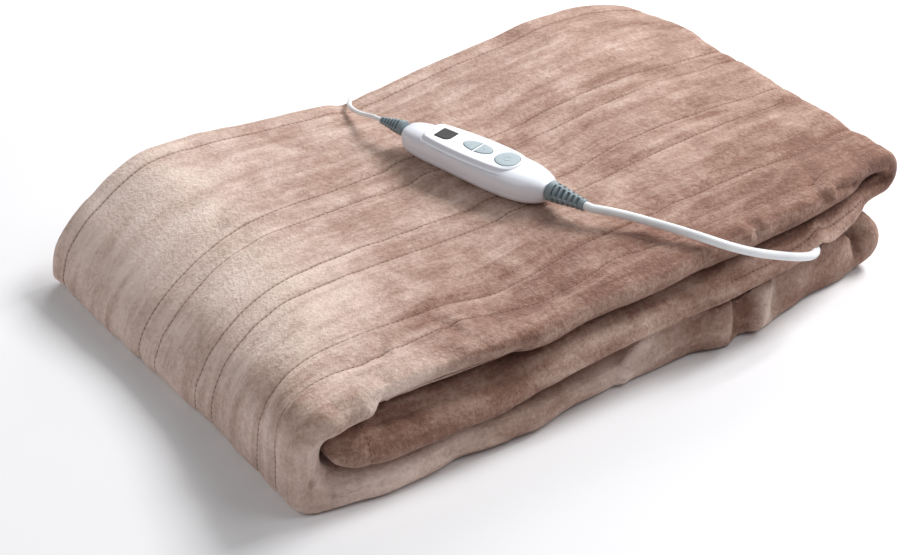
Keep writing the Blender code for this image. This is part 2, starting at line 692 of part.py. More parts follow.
def plate_outline(grow, steps=10):
    """Outline of the raised control plate, a long round-ended boat, grown by grow."""
    u = np.linspace(0.0, 1.0, steps)
    swell = np.sin(math.pi * u) ** 0.7
    ends = PLATE_BACK_HALF + (PLATE_FRONT_HALF - PLATE_BACK_HALF) * u
    half = ends + (PLATE_MID_HALF - (PLATE_BACK_HALF + PLATE_FRONT_HALF) / 2) * swell + grow
    inner_back = PLATE_BACK_U + PLATE_BACK_HALF * 0.55
    inner_front = PLATE_FRONT_U - PLATE_FRONT_HALF * 0.85
    x = inner_back + (inner_front - inner_back) * u
    side = [(a, -b) for a, b in zip(x, half)]
    front = [(inner_front + (PLATE_FRONT_U - inner_front + grow) * math.cos(t), half[-1] * math.sin(t))
             for t in np.linspace(-math.pi / 2, math.pi / 2, 9)[1:-1]]
    other = [(a, b) for a, b in zip(x[::-1], half[::-1])]
    back = [(inner_back - (inner_back - PLATE_BACK_U + grow) * math.cos(t) ** 0.8, half[0] * math.sin(t))
            for t in np.linspace(math.pi / 2, -math.pi / 2, 9)[1:-1]]
    return side + front + other + back


def key_outline(side, grow):
    """One half of the split oval pair of keys; side is -1 or +1."""
    cut = KEYS_SPLIT / 2 - grow
    start = math.acos(min(cut / (KEYS_HALF_LENGTH + grow), 1.0))
    points = [(side * (KEYS_HALF_LENGTH + grow) * math.cos(t), (KEYS_HALF_WIDTH + grow) * math.sin(t))
              for t in np.linspace(-start, start, 14)]
    return [(KEYS_U + x, y) for x, y in points][::side]


def circle_outline(centre, radius, count=28):
    """A round outline."""
    return [(centre + radius * math.cos(t), radius * math.sin(t))
            for t in np.linspace(0, 2 * math.pi, count, endpoint=False)]


def square_outline(centre, side, corner, grow):
    """A square with one well rounded corner, as the display has."""
    half = side / 2 + grow
    small = 0.8 * MM
    points = []
    for quadrant, (sx, sy) in enumerate(((1, 1), (-1, 1), (-1, -1), (1, -1))):
        radius = (corner if quadrant == 3 else small) + grow
        for t in np.linspace(0, math.pi / 2, 5):
            angle = quadrant * math.pi / 2 + t
            points.append((centre + sx * (half - radius) + radius * math.cos(angle),
                           sy * (half - radius) + radius * math.sin(angle)))
    return points


def prism(name, outline, low, high, material, collection, centre=0.0):
    """A flat outline as a straight-sided solid between two heights of the handset."""
    points = [(x - centre, y, 0.0) for x, y in outline]
    area = sum(a[0] * b[1] - b[0] * a[1] for a, b in zip(points, points[1:] + points[:1]))
    if area < 0:
        points.reverse()
    mesh = bpy.data.meshes.new(name)
    mesh.from_pydata(points, [], [range(len(points))])
    obj = link(mesh, name, material, collection)
    obj.matrix_world = handset_frame() @ Matrix.Translation((centre, 0, high))
    solid = obj.modifiers.new("depth", "SOLIDIFY")
    solid.thickness = high - low
    solid.offset = -1.0
    return obj


def round_edges(obj, width, segments=2, angle=40):
    """Rounds the sharp edges of a piece."""
    bevel = obj.modifiers.new("round", "BEVEL")
    bevel.width = width
    bevel.segments = segments
    bevel.limit_method = "ANGLE"
    bevel.angle_limit = math.radians(angle)


def cut_away(obj, cutter):
    """Takes a cutter's volume out of a piece."""
    cut = obj.modifiers.new("cut_" + cutter.name, "BOOLEAN")
    cut.operation = "DIFFERENCE"
    cut.solver = "EXACT"
    cut.object = cutter
    cutter.hide_render = True
    cutter.display_type = "WIRE"


def build_handset(collection, cutters):
    """Housing halves, control plate, display, keys and the round power key."""
    white = make_material("housing_white", "housing_white")
    grey = make_material("key_grey", "key_grey")
    black = make_material("display_black", "display_black")
    body = body_mesh()
    half_body(body, "handset_base", BODY_SEAM_Z - SLIP, False, white, collection)
    shell = half_body(body, "handset_top", BODY_SEAM_Z, True, white, collection)
    bpy.data.meshes.remove(body)

    plate_low = PLATE_TOP_Z - PLATE_THICK
    key_low = PLATE_TOP_Z + KEY_PROUD - KEY_THICK
    well_low = key_low - KEY_TRAVEL - KEY_CLEAR
    plate = prism("handset_plate", plate_outline(0.0), plate_low, PLATE_TOP_Z, white, collection)
    round_edges(plate, 0.7 * MM)
    seat = prism("cut_plate_seat", plate_outline(SLIP), plate_low - SLIP, PLATE_TOP_Z + 9 * MM, white, cutters)
    cut_away(shell, seat)

    display = prism("display_window", square_outline(DISPLAY_U, DISPLAY_SIDE, 4 * MM, 0.0),
                    PLATE_TOP_Z - DISPLAY_THICK, PLATE_TOP_Z + 0.15 * MM, black, collection)
    round_edges(display, 0.25 * MM, 1)
    wells = {
        "display": (square_outline(DISPLAY_U, DISPLAY_SIDE, 4 * MM, SLIP), PLATE_TOP_Z - DISPLAY_THICK - SLIP),
        "cooler_key": (key_outline(-1, KEY_CLEAR), well_low),
        "warmer_key": (key_outline(1, KEY_CLEAR), well_low),
        "power_key": (circle_outline(POWER_U, POWER_RADIUS + KEY_CLEAR), well_low),
    }
    for name, (outline, low) in wells.items():
        cut_away(plate, prism("cut_" + name, outline, low, PLATE_TOP_Z + 5 * MM, white, cutters))
    aside = (KEYS_SPLIT / 2 + KEYS_HALF_LENGTH) / 2
    keys = {
        "cooler_key": (key_outline(-1, 0.0), KEYS_U - aside),
        "warmer_key": (key_outline(1, 0.0), KEYS_U + aside),
        "power_key": (circle_outline(POWER_U, POWER_RADIUS), POWER_U),
    }
    for name, (outline, centre) in keys.items():
        key = prism(name, outline, key_low, PLATE_TOP_Z + KEY_PROUD, grey, collection, centre)
        round_edges(key, 0.35 * MM)


# ---------------------------------------------------------------- leads
def relief_profile(length, root, tip):
    """Half section of a ribbed, tapered strain relief, from its root to its tip."""
    collar = 0.2 * length
    rib = (length - collar) / (2 * RELIEF_RIBS + 1)
    points = [(0.0, root), (collar * 0.8, root * 0.97)]
    for i in range(RELIEF_RIBS):
        at = collar + rib * (2 * i + 0.5)
        radius = root + (tip - root) * at / length
        points += [(at, radius * 0.97), (at + rib * 0.2, radius * 0.76),
                   (at + rib * 0.8, radius * 0.74), (at + rib, radius * 0.94)]
    points.append((length, tip))
    return points


def turned(name, section, closed, axis, flip, place, material, collection, steps=RELIEF_SIDES):
    """A section turned right round an axis; an open one ends on the axis at both ends."""
    count = len(section)
    edges = [(i, (i + 1) % count) for i in range(count if closed else count - 1)]
    obj = link(mesh_of(name, section, edges, []), name, material, collection)
    obj.matrix_world = place
    turn = obj.modifiers.new("turn", "SCREW")
    turn.axis = axis
    turn.steps = steps
    turn.render_steps = steps
    turn.use_merge_vertices = True
    turn.merge_threshold = 0.001 * MM
    turn.use_normal_calculate = True
    turn.use_normal_flip = flip
    return obj


def turned_bar(name, profile, place, material, collection, steps=RELIEF_SIDES):
    """A solid bar turned about the local X axis from rows of (along, radius)."""
    first, last = profile[0][0], profile[-1][0]
    rows = [(first, 0.0), *profile, (last, 0.0)]
    section = [(along, radius, 0.0) for along, radius in rows]
    flip = last > first
    return turned(name, section, False, "X", flip, place, material, collection, steps)


def exit_frame(end, droop):
    """Frame at a housing end, X pointing out along the lead, nose down by droop."""
    turn = Matrix.Rotation(0.0 if end > 0 else math.pi, 4, "Z")
    tilt = Matrix.Rotation(droop, 4, "Y")
    edge = BODY[-1].u if end > 0 else BODY[0].u
    height = MAINS_EXIT_Z if end > 0 else THIN_EXIT_Z
    where = Matrix.Translation((edge * MM + end * SLIP, 0, height))
    return handset_frame() @ where @ turn @ tilt


def smooth_route(points, spacing):
    """Points read every spacing along a smooth curve through the route's own points."""
    points = np.array(points, dtype=float)
    chord = np.concatenate([[0], np.cumsum(np.sqrt(np.linalg.norm(np.diff(points, axis=0), axis=1)))])
    fine = np.linspace(0, chord[-1], 1200)
    slopes = np.gradient(points, chord, axis=0)
    curve = np.stack([cubic(chord, points[:, k], slopes[:, k], fine) for k in range(3)], axis=-1)
    run = np.concatenate([[0], np.cumsum(np.linalg.norm(np.diff(curve, axis=0), axis=1))])
    count = max(int(round(run[-1] / spacing)), 2) + 1
    read = np.linspace(0, run[-1], count)
    return np.stack([np.interp(read, run, curve[:, k]) for k in range(3)], axis=-1)


def lead_tube(name, points, radius, resolution, material, collection):
    """A lead as a bevelled poly curve with filled caps."""
    curve = bpy.data.curves.new(name, "CURVE")
    curve.dimensions = "3D"
    curve.bevel_depth = radius
    curve.bevel_resolution = resolution
    curve.use_fill_caps = True
    spline = curve.splines.new("POLY")
    spline.points.add(len(points) - 1)
    for target, point in zip(spline.points, points):
        target.co = (*point, 1.0)
    curve.materials.append(material)
    obj = bpy.data.objects.new(name, curve)
    collection.objects.link(obj)
    return obj


def coil_solid(name, centre, middle, radius, wide, high, material, collection):
    """The outer shape of a neat coil lying flat, as a turned ring."""
    half_wide = wide * radius
    top = high * 2 * radius * 0.94
    soft = 0.45 * radius
    section = []
    corners = ((1, top - soft), (-1, top - soft), (-1, soft), (1, soft))
    for quadrant, (side, z) in enumerate(corners):
        for t in np.linspace(0, math.pi / 2, 3):
            angle = quadrant * math.pi / 2 + t
            section.append((middle + side * (half_wide - soft) + soft * math.cos(angle), 0.0,
                            z + soft * math.sin(angle)))
    place = Matrix.Translation((*centre, COIL_LIFT))
    return turned(name, section, True, "Z", False, place, material, collection, COIL_SIDES)


def between_layers(x, y):
    """Middle of the trench between the second and the third layer, in metres."""
    levels = layer_levels(x)
    low = levels["third"][0] + levels["third"][1] / 2
    high = levels["second"][0] - levels["second"][1] / 2
    middle = (low + high + TRENCH_UP - TRENCH_DOWN) / 2
    return float(middle * (1.0 + stack_swell(np.array(x), np.array(y))))


def build_leads(collection):
    """Both strain reliefs, both leads, the coil, the gland and the plug."""
    grey = make_material("relief_grey", "relief_grey")
    white = make_material("lead_white", "lead_white")
    mains_exit = exit_frame(1, math.radians(1))
    thin_exit = exit_frame(-1, math.radians(2))
    turned_bar("mains_relief", relief_profile(*MAINS_RELIEF), mains_exit, grey, collection)
    turned_bar("thin_relief", relief_profile(*THIN_RELIEF), thin_exit, grey, collection)

    hidden = [Vector((TRENCH_X, y * MM, between_layers(TRENCH_X, y * MM))) for y in HIDDEN_Y]
    start = mains_exit @ Vector((MAINS_RELIEF[0] + SLIP, 0, 0))
    ahead = mains_exit @ Vector((MAINS_RELIEF[0] + 6 * MM, 0, 0))
    route = [ahead] + [Vector(p) * MM for p in MAINS_ROUTE]
    route += hidden + [Vector(p) * MM for p in MAINS_DROP]
    points = [start, *smooth_route(route, 14 * MM)]
    lead_tube("mains_lead", points, MAINS_RADIUS, 2, white, collection)
    start = thin_exit @ Vector((THIN_RELIEF[0] + SLIP, 0, 0))
    ahead = thin_exit @ Vector((THIN_RELIEF[0] + 4 * MM, 0, 0))
    gland_mouth = Vector(GLAND_AT) + Vector((0, GLAND_SIZE[1] / 2 + SLIP, 0))
    route = [ahead] + [Vector(p) * MM for p in THIN_ROUTE]
    route.append(gland_mouth + Vector((0, 3 * MM, 0.3 * MM)))
    points = [start, *smooth_route(route, 6.5 * MM), gland_mouth]
    lead_tube("blanket_lead", points, THIN_RADIUS, 2, white, collection)
    coil_solid("mains_coil", MAINS_COIL_AT, MAINS_COIL_MID, MAINS_RADIUS,
               MAINS_COIL_WIDE, MAINS_COIL_HIGH, white, collection)
    build_gland(grey, collection)
    build_plug(white, collection)


def rounded_box(name, size, place, radius, material, collection):
    """A box with rounded edges, centred on a place."""
    bm = bmesh.new()
    bmesh.ops.create_cube(bm, size=1.0)
    bmesh.ops.scale(bm, vec=size, verts=bm.verts)
    mesh = bpy.data.meshes.new(name)
    bm.to_mesh(mesh)
    bm.free()
    obj = link(mesh, name, material, collection)
    obj.location = place
    round_edges(obj, radius, 2)
    return obj


def build_gland(material, collection):
    """The small moulded gland by which the thin lead enters the back edge."""
    rounded_box("lead_gland", GLAND_SIZE, GLAND_AT, 1.6 * MM, material, collection)


def build_plug(material, collection):
    """A flat two-pin plug lying behind the blanket, its tail leading to the coil."""
    metal = make_material("pin_metal", "pin_metal", metallic=1.0)
    tail = smooth_route([Vector(p) * MM for p in PLUG_TAIL], 6 * MM)
    lead_tube("plug_tail", tail, MAINS_RADIUS, 2, material, collection)
    x, y = PLUG_AT
    z = PLUG_HALF_THICK + COIL_LIFT
    rows = ((0.0, 1.0, 1.0), (0.35, 1.0, 1.0), (0.62, 0.86, 0.98), (0.80, 0.52, 0.84),
            (0.92, 0.36, 0.70), (1.0, 0.30, 0.62))
    rings = []
    for along, wide, thick in rows:
        ry, rz = superellipse(PLUG_HALF_WIDTH * wide, -PLUG_HALF_THICK * thick,
                              PLUG_HALF_THICK * thick, 3.2, 24)
        rings.append(np.stack([np.full(24, along * PLUG_LENGTH), ry, rz], axis=-1))
    plug = link(grid_mesh("mains_plug", np.array(rings)), "mains_plug", material, collection)
    plug.location = (x, y, z)
    for side, name in ((-1, "plug_pin_left"), (1, "plug_pin_right")):
        profile = ((-SLIP, PIN_RADIUS), (-PIN_LENGTH + 1 * MM, PIN_RADIUS), (-PIN_LENGTH, PIN_RADIUS * 0.7))
        place = Matrix.Translation((x, y + side * PIN_SPACING / 2, z))
        turned_bar(name, profile, place, metal, collection)


def main():
    """Builds every piece of the folded blanket and its leads."""
    for obj in list(bpy.data.objects):
        bpy.data.objects.remove(obj)
    collection = bpy.data.collections.new("heated_blanket")
    cutters = bpy.data.collections.new("cutters")
    for group in (collection, cutters):
        bpy.context.scene.collection.children.link(group)
    folded_blanket(collection)
    build_handset(collection, cutters)
    build_leads(collection)


main()
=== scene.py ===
"""Looks of a folded electric over-blanket: plush cloth, sewn lines, handset and leads.

Lengths are in metres unless a table says mm. The frame's own axes hold: +X along the
blanket towards its free folds, +Y towards the hemmed back edge, +Z up from the surface.
"""
import logging
import math
from dataclasses import dataclass, field
from enum import Enum
from typing import Callable, NamedTuple

import bmesh
import bpy
import numpy as np
from bpy.types import ID, Material, Node, NodeSocket, NodeTree, Object
from mathutils import Matrix, Vector


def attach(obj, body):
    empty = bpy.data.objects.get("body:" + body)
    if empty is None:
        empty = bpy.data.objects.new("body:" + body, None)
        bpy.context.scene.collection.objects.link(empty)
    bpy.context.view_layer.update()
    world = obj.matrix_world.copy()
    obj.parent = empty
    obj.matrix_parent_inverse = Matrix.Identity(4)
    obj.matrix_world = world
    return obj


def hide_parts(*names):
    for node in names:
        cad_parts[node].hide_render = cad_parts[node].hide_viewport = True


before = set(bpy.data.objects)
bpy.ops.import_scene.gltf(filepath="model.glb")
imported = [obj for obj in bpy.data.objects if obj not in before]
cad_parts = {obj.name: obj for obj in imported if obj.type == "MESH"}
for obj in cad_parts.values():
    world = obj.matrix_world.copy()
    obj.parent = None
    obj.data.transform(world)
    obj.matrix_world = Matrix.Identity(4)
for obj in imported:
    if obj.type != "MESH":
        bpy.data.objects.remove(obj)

log = logging.getLogger("heated_blanket")
MM = 0.001
ROOT = "blanket_and_handset"
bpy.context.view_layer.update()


# ---------------------------------------------------------------- curves and noise
def cubic(xs: np.ndarray, values: np.ndarray, slope: np.ndarray, x: np.ndarray) -> np.ndarray:
    """Read a piecewise cubic, given by its values and slopes at xs, at x.

    Args:
        xs: Rising positions of the rows.
        values: Value at each row.
        slope: Slope at each row.
        x: Where the curve is read; it is level beyond the ends.

    Returns:
        The cubic's value at each x.
    """
    x = np.clip(x, xs[0], xs[-1])
    i = np.clip(np.searchsorted(xs, x, side="right") - 1, 0, len(xs) - 2)
    step = xs[i + 1] - xs[i]
    t = (x - xs[i]) / step
    rise = (1 + 2 * t) * (1 - t) ** 2 * values[i] + t * t * (3 - 2 * t) * values[i + 1]
    return rise + t * (1 - t) ** 2 * step * slope[i] + t * t * (t - 1) * step * slope[i + 1]


def smooth_between(xs: object, values: object, x: np.ndarray) -> np.ndarray:
    """Read a table along a cubic that never overshoots its rows (harmonic mean slopes).

    Args:
        xs: Rising positions of the rows.
        values: Value at each row.
        x: Where the table is read.

    Returns:
        The smooth value at each x.
    """
    xs, values = np.asarray(xs, float), np.asarray(values, float)
    secant = np.diff(values) / np.diff(xs)
    before, after = secant[:-1], secant[1:]
    agree = before * after > 0
    inner = np.where(agree, 2 * before * after / np.where(agree, before + after, 1.0), 0.0)
    return cubic(xs, values, np.concatenate([secant[:1], inner, secant[-1:]]), x)


def read_rows(rows: tuple, column: str, x: np.ndarray) -> np.ndarray:
    """Read one column of a table smoothly, by the places in the rows' first column.

    Args:
        rows: Named rows, rising in their first column.
        column: Name of the column.
        x: Where the table is read, in its own unit.

    Returns:
        The smooth value at each x.
    """
    return smooth_between([row[0] for row in rows], [getattr(row, column) for row in rows], x)


def smoothstep(low: float, high: float, value: np.ndarray) -> np.ndarray:
    """Rise smoothly from 0 at low to 1 at high, as 3t^2 - 2t^3."""
    t = np.clip((value - low) / (high - low), 0.0, 1.0)
    return t * t * (3 - 2 * t)


def hashed(cells: np.ndarray, seed: float) -> np.ndarray:
    """Give each whole-numbered lattice cell a fixed value from 0 to 1 (sine hash)."""
    mixed = np.sin(cells @ np.array([127.1, 311.7, 74.7]) + seed * 17.13) * 43758.5453
    return mixed - np.floor(mixed)


def soft_noise(points: np.ndarray, cell: object, seed: float) -> np.ndarray:
    """Value noise: lattice values blended by smoothstep in each axis, from -1 to 1.

    Args:
        points: Array of shape (..., 3), in metres.
        cell: Lattice spacing in metres, one number or one for each axis.
        seed: Which of the fixed patterns is read.

    Returns:
        Noise at each point.
    """
    scaled = points / np.asarray(cell, float)
    base = np.floor(scaled)
    blend = scaled - base
    blend = blend * blend * (3 - 2 * blend)
    total = np.zeros(points.shape[:-1])
    for corner in np.ndindex(2, 2, 2):
        offset = np.array(corner, float)
        weight = np.prod(np.where(offset > 0, blend, 1 - blend), axis=-1)
        total += weight * hashed(base + offset, seed)
    return total * 2 - 1


def full_turn(count: int) -> np.ndarray:
    """Space angles evenly round a whole turn."""
    return np.linspace(0, 2 * math.pi, count, endpoint=False)


def signed_power(value: np.ndarray, power: float) -> np.ndarray:
    """Raise a value's size to a power and keep its sign, as a superellipse needs."""
    return np.sign(value) * np.abs(value) ** power


def stacked(*parts: object) -> np.ndarray:
    """Put coordinates side by side as the last axis, spread to one shape."""
    return np.stack(np.broadcast_arrays(*parts), axis=-1)


def lengths_along(line: np.ndarray) -> np.ndarray:
    """Add up the length from a polyline's start to each of its points."""
    return np.concatenate([[0], np.cumsum(np.linalg.norm(np.diff(line, axis=0), axis=-1))])


def read_line(at: np.ndarray, run: np.ndarray, line: np.ndarray) -> np.ndarray:
    """Read a polyline's three coordinates straight between its points, at lengths along it."""
    return stacked(*[np.interp(at, run, line[:, k]) for k in range(3)])


def smooth_route(points: object, spacing: float) -> np.ndarray:
    """Read points at an even spacing along a smooth curve through a route's own points.

    The curve is a cubic over the centripetal chord (the root of each step's length).

    Args:
        points: The route's points, in metres.
        spacing: Distance between the points that are read.

    Returns:
        Array of shape (n, 3).
    """
    points = np.array(points, dtype=float)
    steps = np.sqrt(np.linalg.norm(np.diff(points, axis=0), axis=1))
    chord = np.concatenate([[0], np.cumsum(steps)])
    fine = np.linspace(0, chord[-1], 1200)
    slopes = np.gradient(points, chord, axis=0)
    curve = stacked(*[cubic(chord, points[:, k], slopes[:, k], fine) for k in range(3)])
    return evenly(curve, spacing)


def ironed(points: np.ndarray, passes: int) -> np.ndarray:
    """Take small kinks out of a route: each pass moves a point halfway to its neighbours' mean.

    Args:
        points: Points along the route.
        passes: How many times.

    Returns:
        The route with its ends kept.
    """
    points = np.array(points, float)
    for _ in range(passes):
        points[1:-1] += ((points[:-2] + points[2:]) / 2 - points[1:-1]) / 2
    return points


def evenly(line: np.ndarray, spacing: float) -> np.ndarray:
    """Read a polyline at an even spacing along its own length.

    Args:
        line: Array of shape (n, 3).
        spacing: Distance between the points that are read, rounded to fit.

    Returns:
        Array of shape (m, 3), both ends included.
    """
    run = lengths_along(line)
    count = max(int(round(run[-1] / spacing)), 2) + 1
    return read_line(np.linspace(0, run[-1], count), run, line)


# ---------------------------------------------------------------- meshes
def added(name: str, data: ID) -> Object:
    """Put data into the scene as an object at the origin."""
    obj = bpy.data.objects.new(name, data)
    bpy.context.scene.collection.objects.link(obj)
    return obj


def mesh_object(name: str, points: np.ndarray, faces: list, material: Material,
                smooth: bool = True) -> Object:
    """Make a mesh object at the origin from points and faces.

    Args:
        name: The piece's name.
        points: Array of shape (n, 3), in the frame's own place.
        faces: Lists of point numbers, in any turning sense.
        material: The finish of every face.
        smooth: Whether faces are shaded smooth.

    Returns:
        The new object, with its faces turned outwards.
    """
    mesh = bpy.data.meshes.new(name)
    mesh.from_pydata(np.asarray(points, float).reshape(-1, 3).tolist(), [], faces)
    shell = bmesh.new()
    shell.from_mesh(mesh)
    bmesh.ops.recalc_face_normals(shell, faces=shell.faces)
    shell.to_mesh(mesh)
    shell.free()
    mesh.polygons.foreach_set("use_smooth", np.full(len(mesh.polygons), smooth))
    mesh.materials.append(material)
    return added(name, mesh)


def grid_quads(rings: int, around: int, closed: bool = False) -> list:
    """Number the quads of a grid of rings.

    Args:
        rings: How many rings it has.
        around: Points in each ring, which closes round.
        closed: Whether the last ring joins the first.

    Returns:
        Faces of four points each.
    """
    index = np.arange(rings * around).reshape(rings, around)
    ahead = np.roll(index, -1, axis=0)
    if not closed:
        index, ahead = index[:-1], ahead[:-1]
    quads = stacked(index, ahead, np.roll(ahead, -1, axis=1), np.roll(index, -1, axis=1))
    return quads.reshape(-1, 4).tolist()


def tube_faces(rings: int, around: int) -> list:
    """Number the quads of a tube of rings, with a face to cap each end.

    Args:
        rings: How many rings the tube has.
        around: Points in each ring.

    Returns:
        Faces, the two end caps last.
    """
    last = rings * around - 1
    caps = [list(range(around)), list(range(last, last - around, -1))]
    return grid_quads(rings, around) + caps


def joined(parts: list) -> tuple:
    """Join meshes, each its points and its faces, into one.

    Args:
        parts: Pairs of points and faces.

    Returns:
        All points and all faces.
    """
    starts = np.cumsum([0] + [len(points) for points, _ in parts]).tolist()
    faces = [[i + start for i in face] for start, (_, made) in zip(starts, parts) for face in made]
    return np.concatenate([points for points, _ in parts]), faces


def placed(points: np.ndarray, place: Matrix) -> np.ndarray:
    """Carry points into the frame: the matrix's turn, then its shift."""
    turn = np.array(place.to_3x3())
    return np.asarray(points, float) @ turn.T + np.array(place.translation)


def sharp_edges(obj: Object, angle: float) -> None:
    """Keep an object's sharper edges crisp under smooth shading.

    Args:
        obj: The mesh object.
        angle: Least angle of a crisp edge, in degrees.
    """
    shell = bmesh.new()
    shell.from_mesh(obj.data)
    for edge in shell.edges:
        if len(edge.link_faces) == 2 and edge.calc_face_angle() > math.radians(angle):
            edge.smooth = False
    shell.to_mesh(obj.data)
    shell.free()


# ---------------------------------------------------------------- material nodes
def linear(code: str) -> tuple:
    """Turn an sRGB hex colour into linear light with full alpha.

    Args:
        code: Colour such as "#B8968A".

    Returns:
        Red, green, blue and alpha.
    """
    rgb = []
    for i in (1, 3, 5):
        channel = int(code[i:i + 2], 16) / 255.0
        low = channel / 12.92
        high = ((channel + 0.055) / 1.055) ** 2.4
        rgb.append(low if channel <= 0.04045 else high)
    return (*rgb, 1.0)


def set_inputs(node: Node, values: dict) -> None:
    """Set a node's own sockets, by name."""
    for socket, value in values.items():
        node.inputs[socket].default_value = value


def add_node(tree: NodeTree, kind: str, links: dict | None = None,
             inputs: dict | None = None, **settings: object) -> Node:
    """Add one node with its settings, values and links.

    Args:
        tree: The material's node tree.
        kind: Node type, without the "ShaderNode" in front.
        links: Input name or number to the output socket that feeds it.
        inputs: Input name or number to its fixed value.
        **settings: Properties set on the node itself.

    Returns:
        The new node.
    """
    node = tree.nodes.new("ShaderNode" + kind)
    for name, value in settings.items():
        setattr(node, name, value)
    set_inputs(node, inputs or {})
    for socket, source in (links or {}).items():
        tree.links.new(source, node.inputs[socket])
    return node


def blank_material(name: str) -> tuple:
    """Make a material with only its shader, its output and its place node.

    Args:
        name: What the real stuff is.

    Returns:
        The material, its node tree, its Principled shader and the object's own place.
    """
    material = bpy.data.materials.new(name)
    material.use_nodes = True
    tree = material.node_tree
    place = add_node(tree, "TexCoord").outputs["Object"]
    return material, tree, tree.nodes["Principled BSDF"], place


def set_ramp(node: Node, stops: tuple) -> None:
    """Give a colour ramp its stops.

    Args:
        node: The ramp.
        stops: Pairs of place and hex colour, from low to high.
    """
    ramp = node.color_ramp
    while len(ramp.elements) < len(stops):
        ramp.elements.new(1.0)
    for element, (place, code) in zip(ramp.elements, stops):
        element.position = place
        element.color = linear(code)


def tint(tree: NodeTree, shader: Node, noise: Node, stops: tuple) -> None:
    """Colour a shader by a noise, read through a ramp's stops."""
    ramp = add_node(tree, "ValToRGB", {"Fac": noise.outputs["Fac"]})
    set_ramp(ramp, stops)
    tree.links.new(ramp.outputs["Color"], shader.inputs["Base Color"])


def per_metre(pitch_mm: float) -> float:
    """Noise scale whose spots come at a pitch in millimetres."""
    return 1000.0 / pitch_mm


# ---------------------------------------------------------------- finishes
@dataclass(frozen=True)
class PlushFleece:
    """Brushed polyester flannel: a short dense pile that shows light where it leans away.

    Crushed patches of pile give the eye soft lighter and darker clouds, drawn out along
    the sewn channels, over a fine tufted grain. A mesh attribute adds painted light and
    shade to the tone, and the seam attribute painted shade in the sewn grooves.
    """

    name: str = "brushed_polyester_flannel"
    deep: str = "#70524A"
    shade: str = "#8E6B5D"
    middle: str = "#BB9D8F"
    light: str = "#E7CFC3"
    palest: str = "#FBE8DD"
    # painted shade of the sewn grooves and stitch holes
    seam_painted_shade: str = "#8A6656"
    sheen: str = "#EBD6CB"
    patch_mm: float = 34.0
    streak_mm: float = 11.0
    tuft_mm: float = 2.7          # locks of pile; single fibres are too fine to show
    grain_mm: float = 5.5

    def material(self) -> Material:
        """Build the finish's node tree.

        Returns:
            The material.
        """
        material, tree, shader, place = blank_material(self.name)
        cloth = add_node(tree, "UVMap", uv_map="cloth").outputs["UV"]
        patches = add_node(tree, "TexNoise", {"Vector": place},
                           {"Scale": per_metre(self.patch_mm), "Detail": 3.0, "Roughness": 0.55,
                            "Distortion": 0.6})
        drawn_out = add_node(tree, "Mapping", {"Vector": cloth},
                             {"Scale": (0.16, 1.0, 1.0)}).outputs["Vector"]
        streaks = add_node(tree, "TexNoise", {"Vector": drawn_out},
                           {"Scale": per_metre(self.streak_mm), "Detail": 4.0, "Roughness": 0.6,
                            "Distortion": 0.4})
        grain = add_node(tree, "TexNoise", {"Vector": place},
                         {"Scale": per_metre(self.grain_mm), "Detail": 3.0, "Roughness": 0.65})
        tufts = add_node(tree, "TexNoise", {"Vector": place},
                         {"Scale": per_metre(self.tuft_mm), "Detail": 3.0, "Roughness": 0.7,
                          "Distortion": 0.3})
        pile_tone_and_painted_light = self._weighted(tree, ((patches, 0.32), (streaks, 0.36), (grain, 0.14), (tufts, 0.26)))
        # The mesh's attribute adds painted light and shade: a painted highlight on the left crest, painted
        # shade on the fronts and in the hollow under the top layer's lip.
        lean = add_node(tree, "Attribute", attribute_name="pile_tone_and_painted_light")
        pile_tone_and_painted_light = add_node(tree, "Math", {0: pile_tone_and_painted_light, 1: lean.outputs["Fac"]}, operation="ADD").outputs[0]
        ramp = add_node(tree, "ValToRGB", {"Fac": pile_tone_and_painted_light})
        # The deep and palest stops serve the painted shade and the painted highlight that the attribute adds.
        set_ramp(ramp, ((0.24, self.deep), (0.37, self.shade), (0.52, self.middle), (0.69, self.light),
                        (0.86, self.palest)))
        # The seam attribute paints shade into the sewn grooves and the stitch holes.
        seam = add_node(tree, "Attribute", attribute_name="seam")
        colour = add_node(tree, "MixRGB", {"Fac": seam.outputs["Fac"], "Color1": ramp.outputs["Color"]},
                          {"Color2": linear(self.seam_painted_shade)})
        tree.links.new(colour.outputs["Color"], shader.inputs["Base Color"])
        relief = self._weighted(tree, ((tufts, 0.62), (grain, 0.38)))
        bump = add_node(tree, "Bump", {"Height": relief}, {"Strength": 0.9, "Distance": 0.0022})
        tree.links.new(bump.outputs["Normal"], shader.inputs["Normal"])
        set_inputs(shader, {"Roughness": 0.95, "Specular IOR Level": 0.12, "Sheen Weight": 0.45,
                            "Sheen Roughness": 0.42, "Sheen Tint": linear(self.sheen)})
        return material

    def _weighted(self, tree: NodeTree, parts: tuple) -> NodeSocket:
        """Add noises up, each times its share.

        Args:
            tree: The material's node tree.
            parts: Pairs of noise node and share.

        Returns:
            The socket that holds the sum.
        """
        (first, share), *others = parts
        total = add_node(tree, "Math", {0: first.outputs["Fac"]}, {1: share}, operation="MULTIPLY")
        for noise, share in others:
            total = add_node(tree, "Math", {0: noise.outputs["Fac"], 2: total.outputs[0]}, {1: share},
                             operation="MULTIPLY_ADD")
        return total.outputs[0]


@dataclass(frozen=True)
class SewingThread:
    """Spun polyester thread, coloured darker than the pile that it pulls down as painted shade of the holes
    where it dips in.
    """

    name: str = "spun_polyester_thread"
    # darker than the pile: painted shade of the stitch holes
    colour: str = "#5A3C32"
    light: str = "#6F4E42"
    ply_mm: float = 0.9

    def material(self) -> Material:
        """Build the finish's node tree.

        Returns:
            The material.
        """
        material, tree, shader, place = blank_material(self.name)
        ply = add_node(tree, "TexNoise", {"Vector": place},
                       {"Scale": per_metre(self.ply_mm), "Detail": 1.0})
        tint(tree, shader, ply, ((0.35, self.colour), (0.65, self.light)))
        set_inputs(shader, {"Roughness": 0.8})
        return material


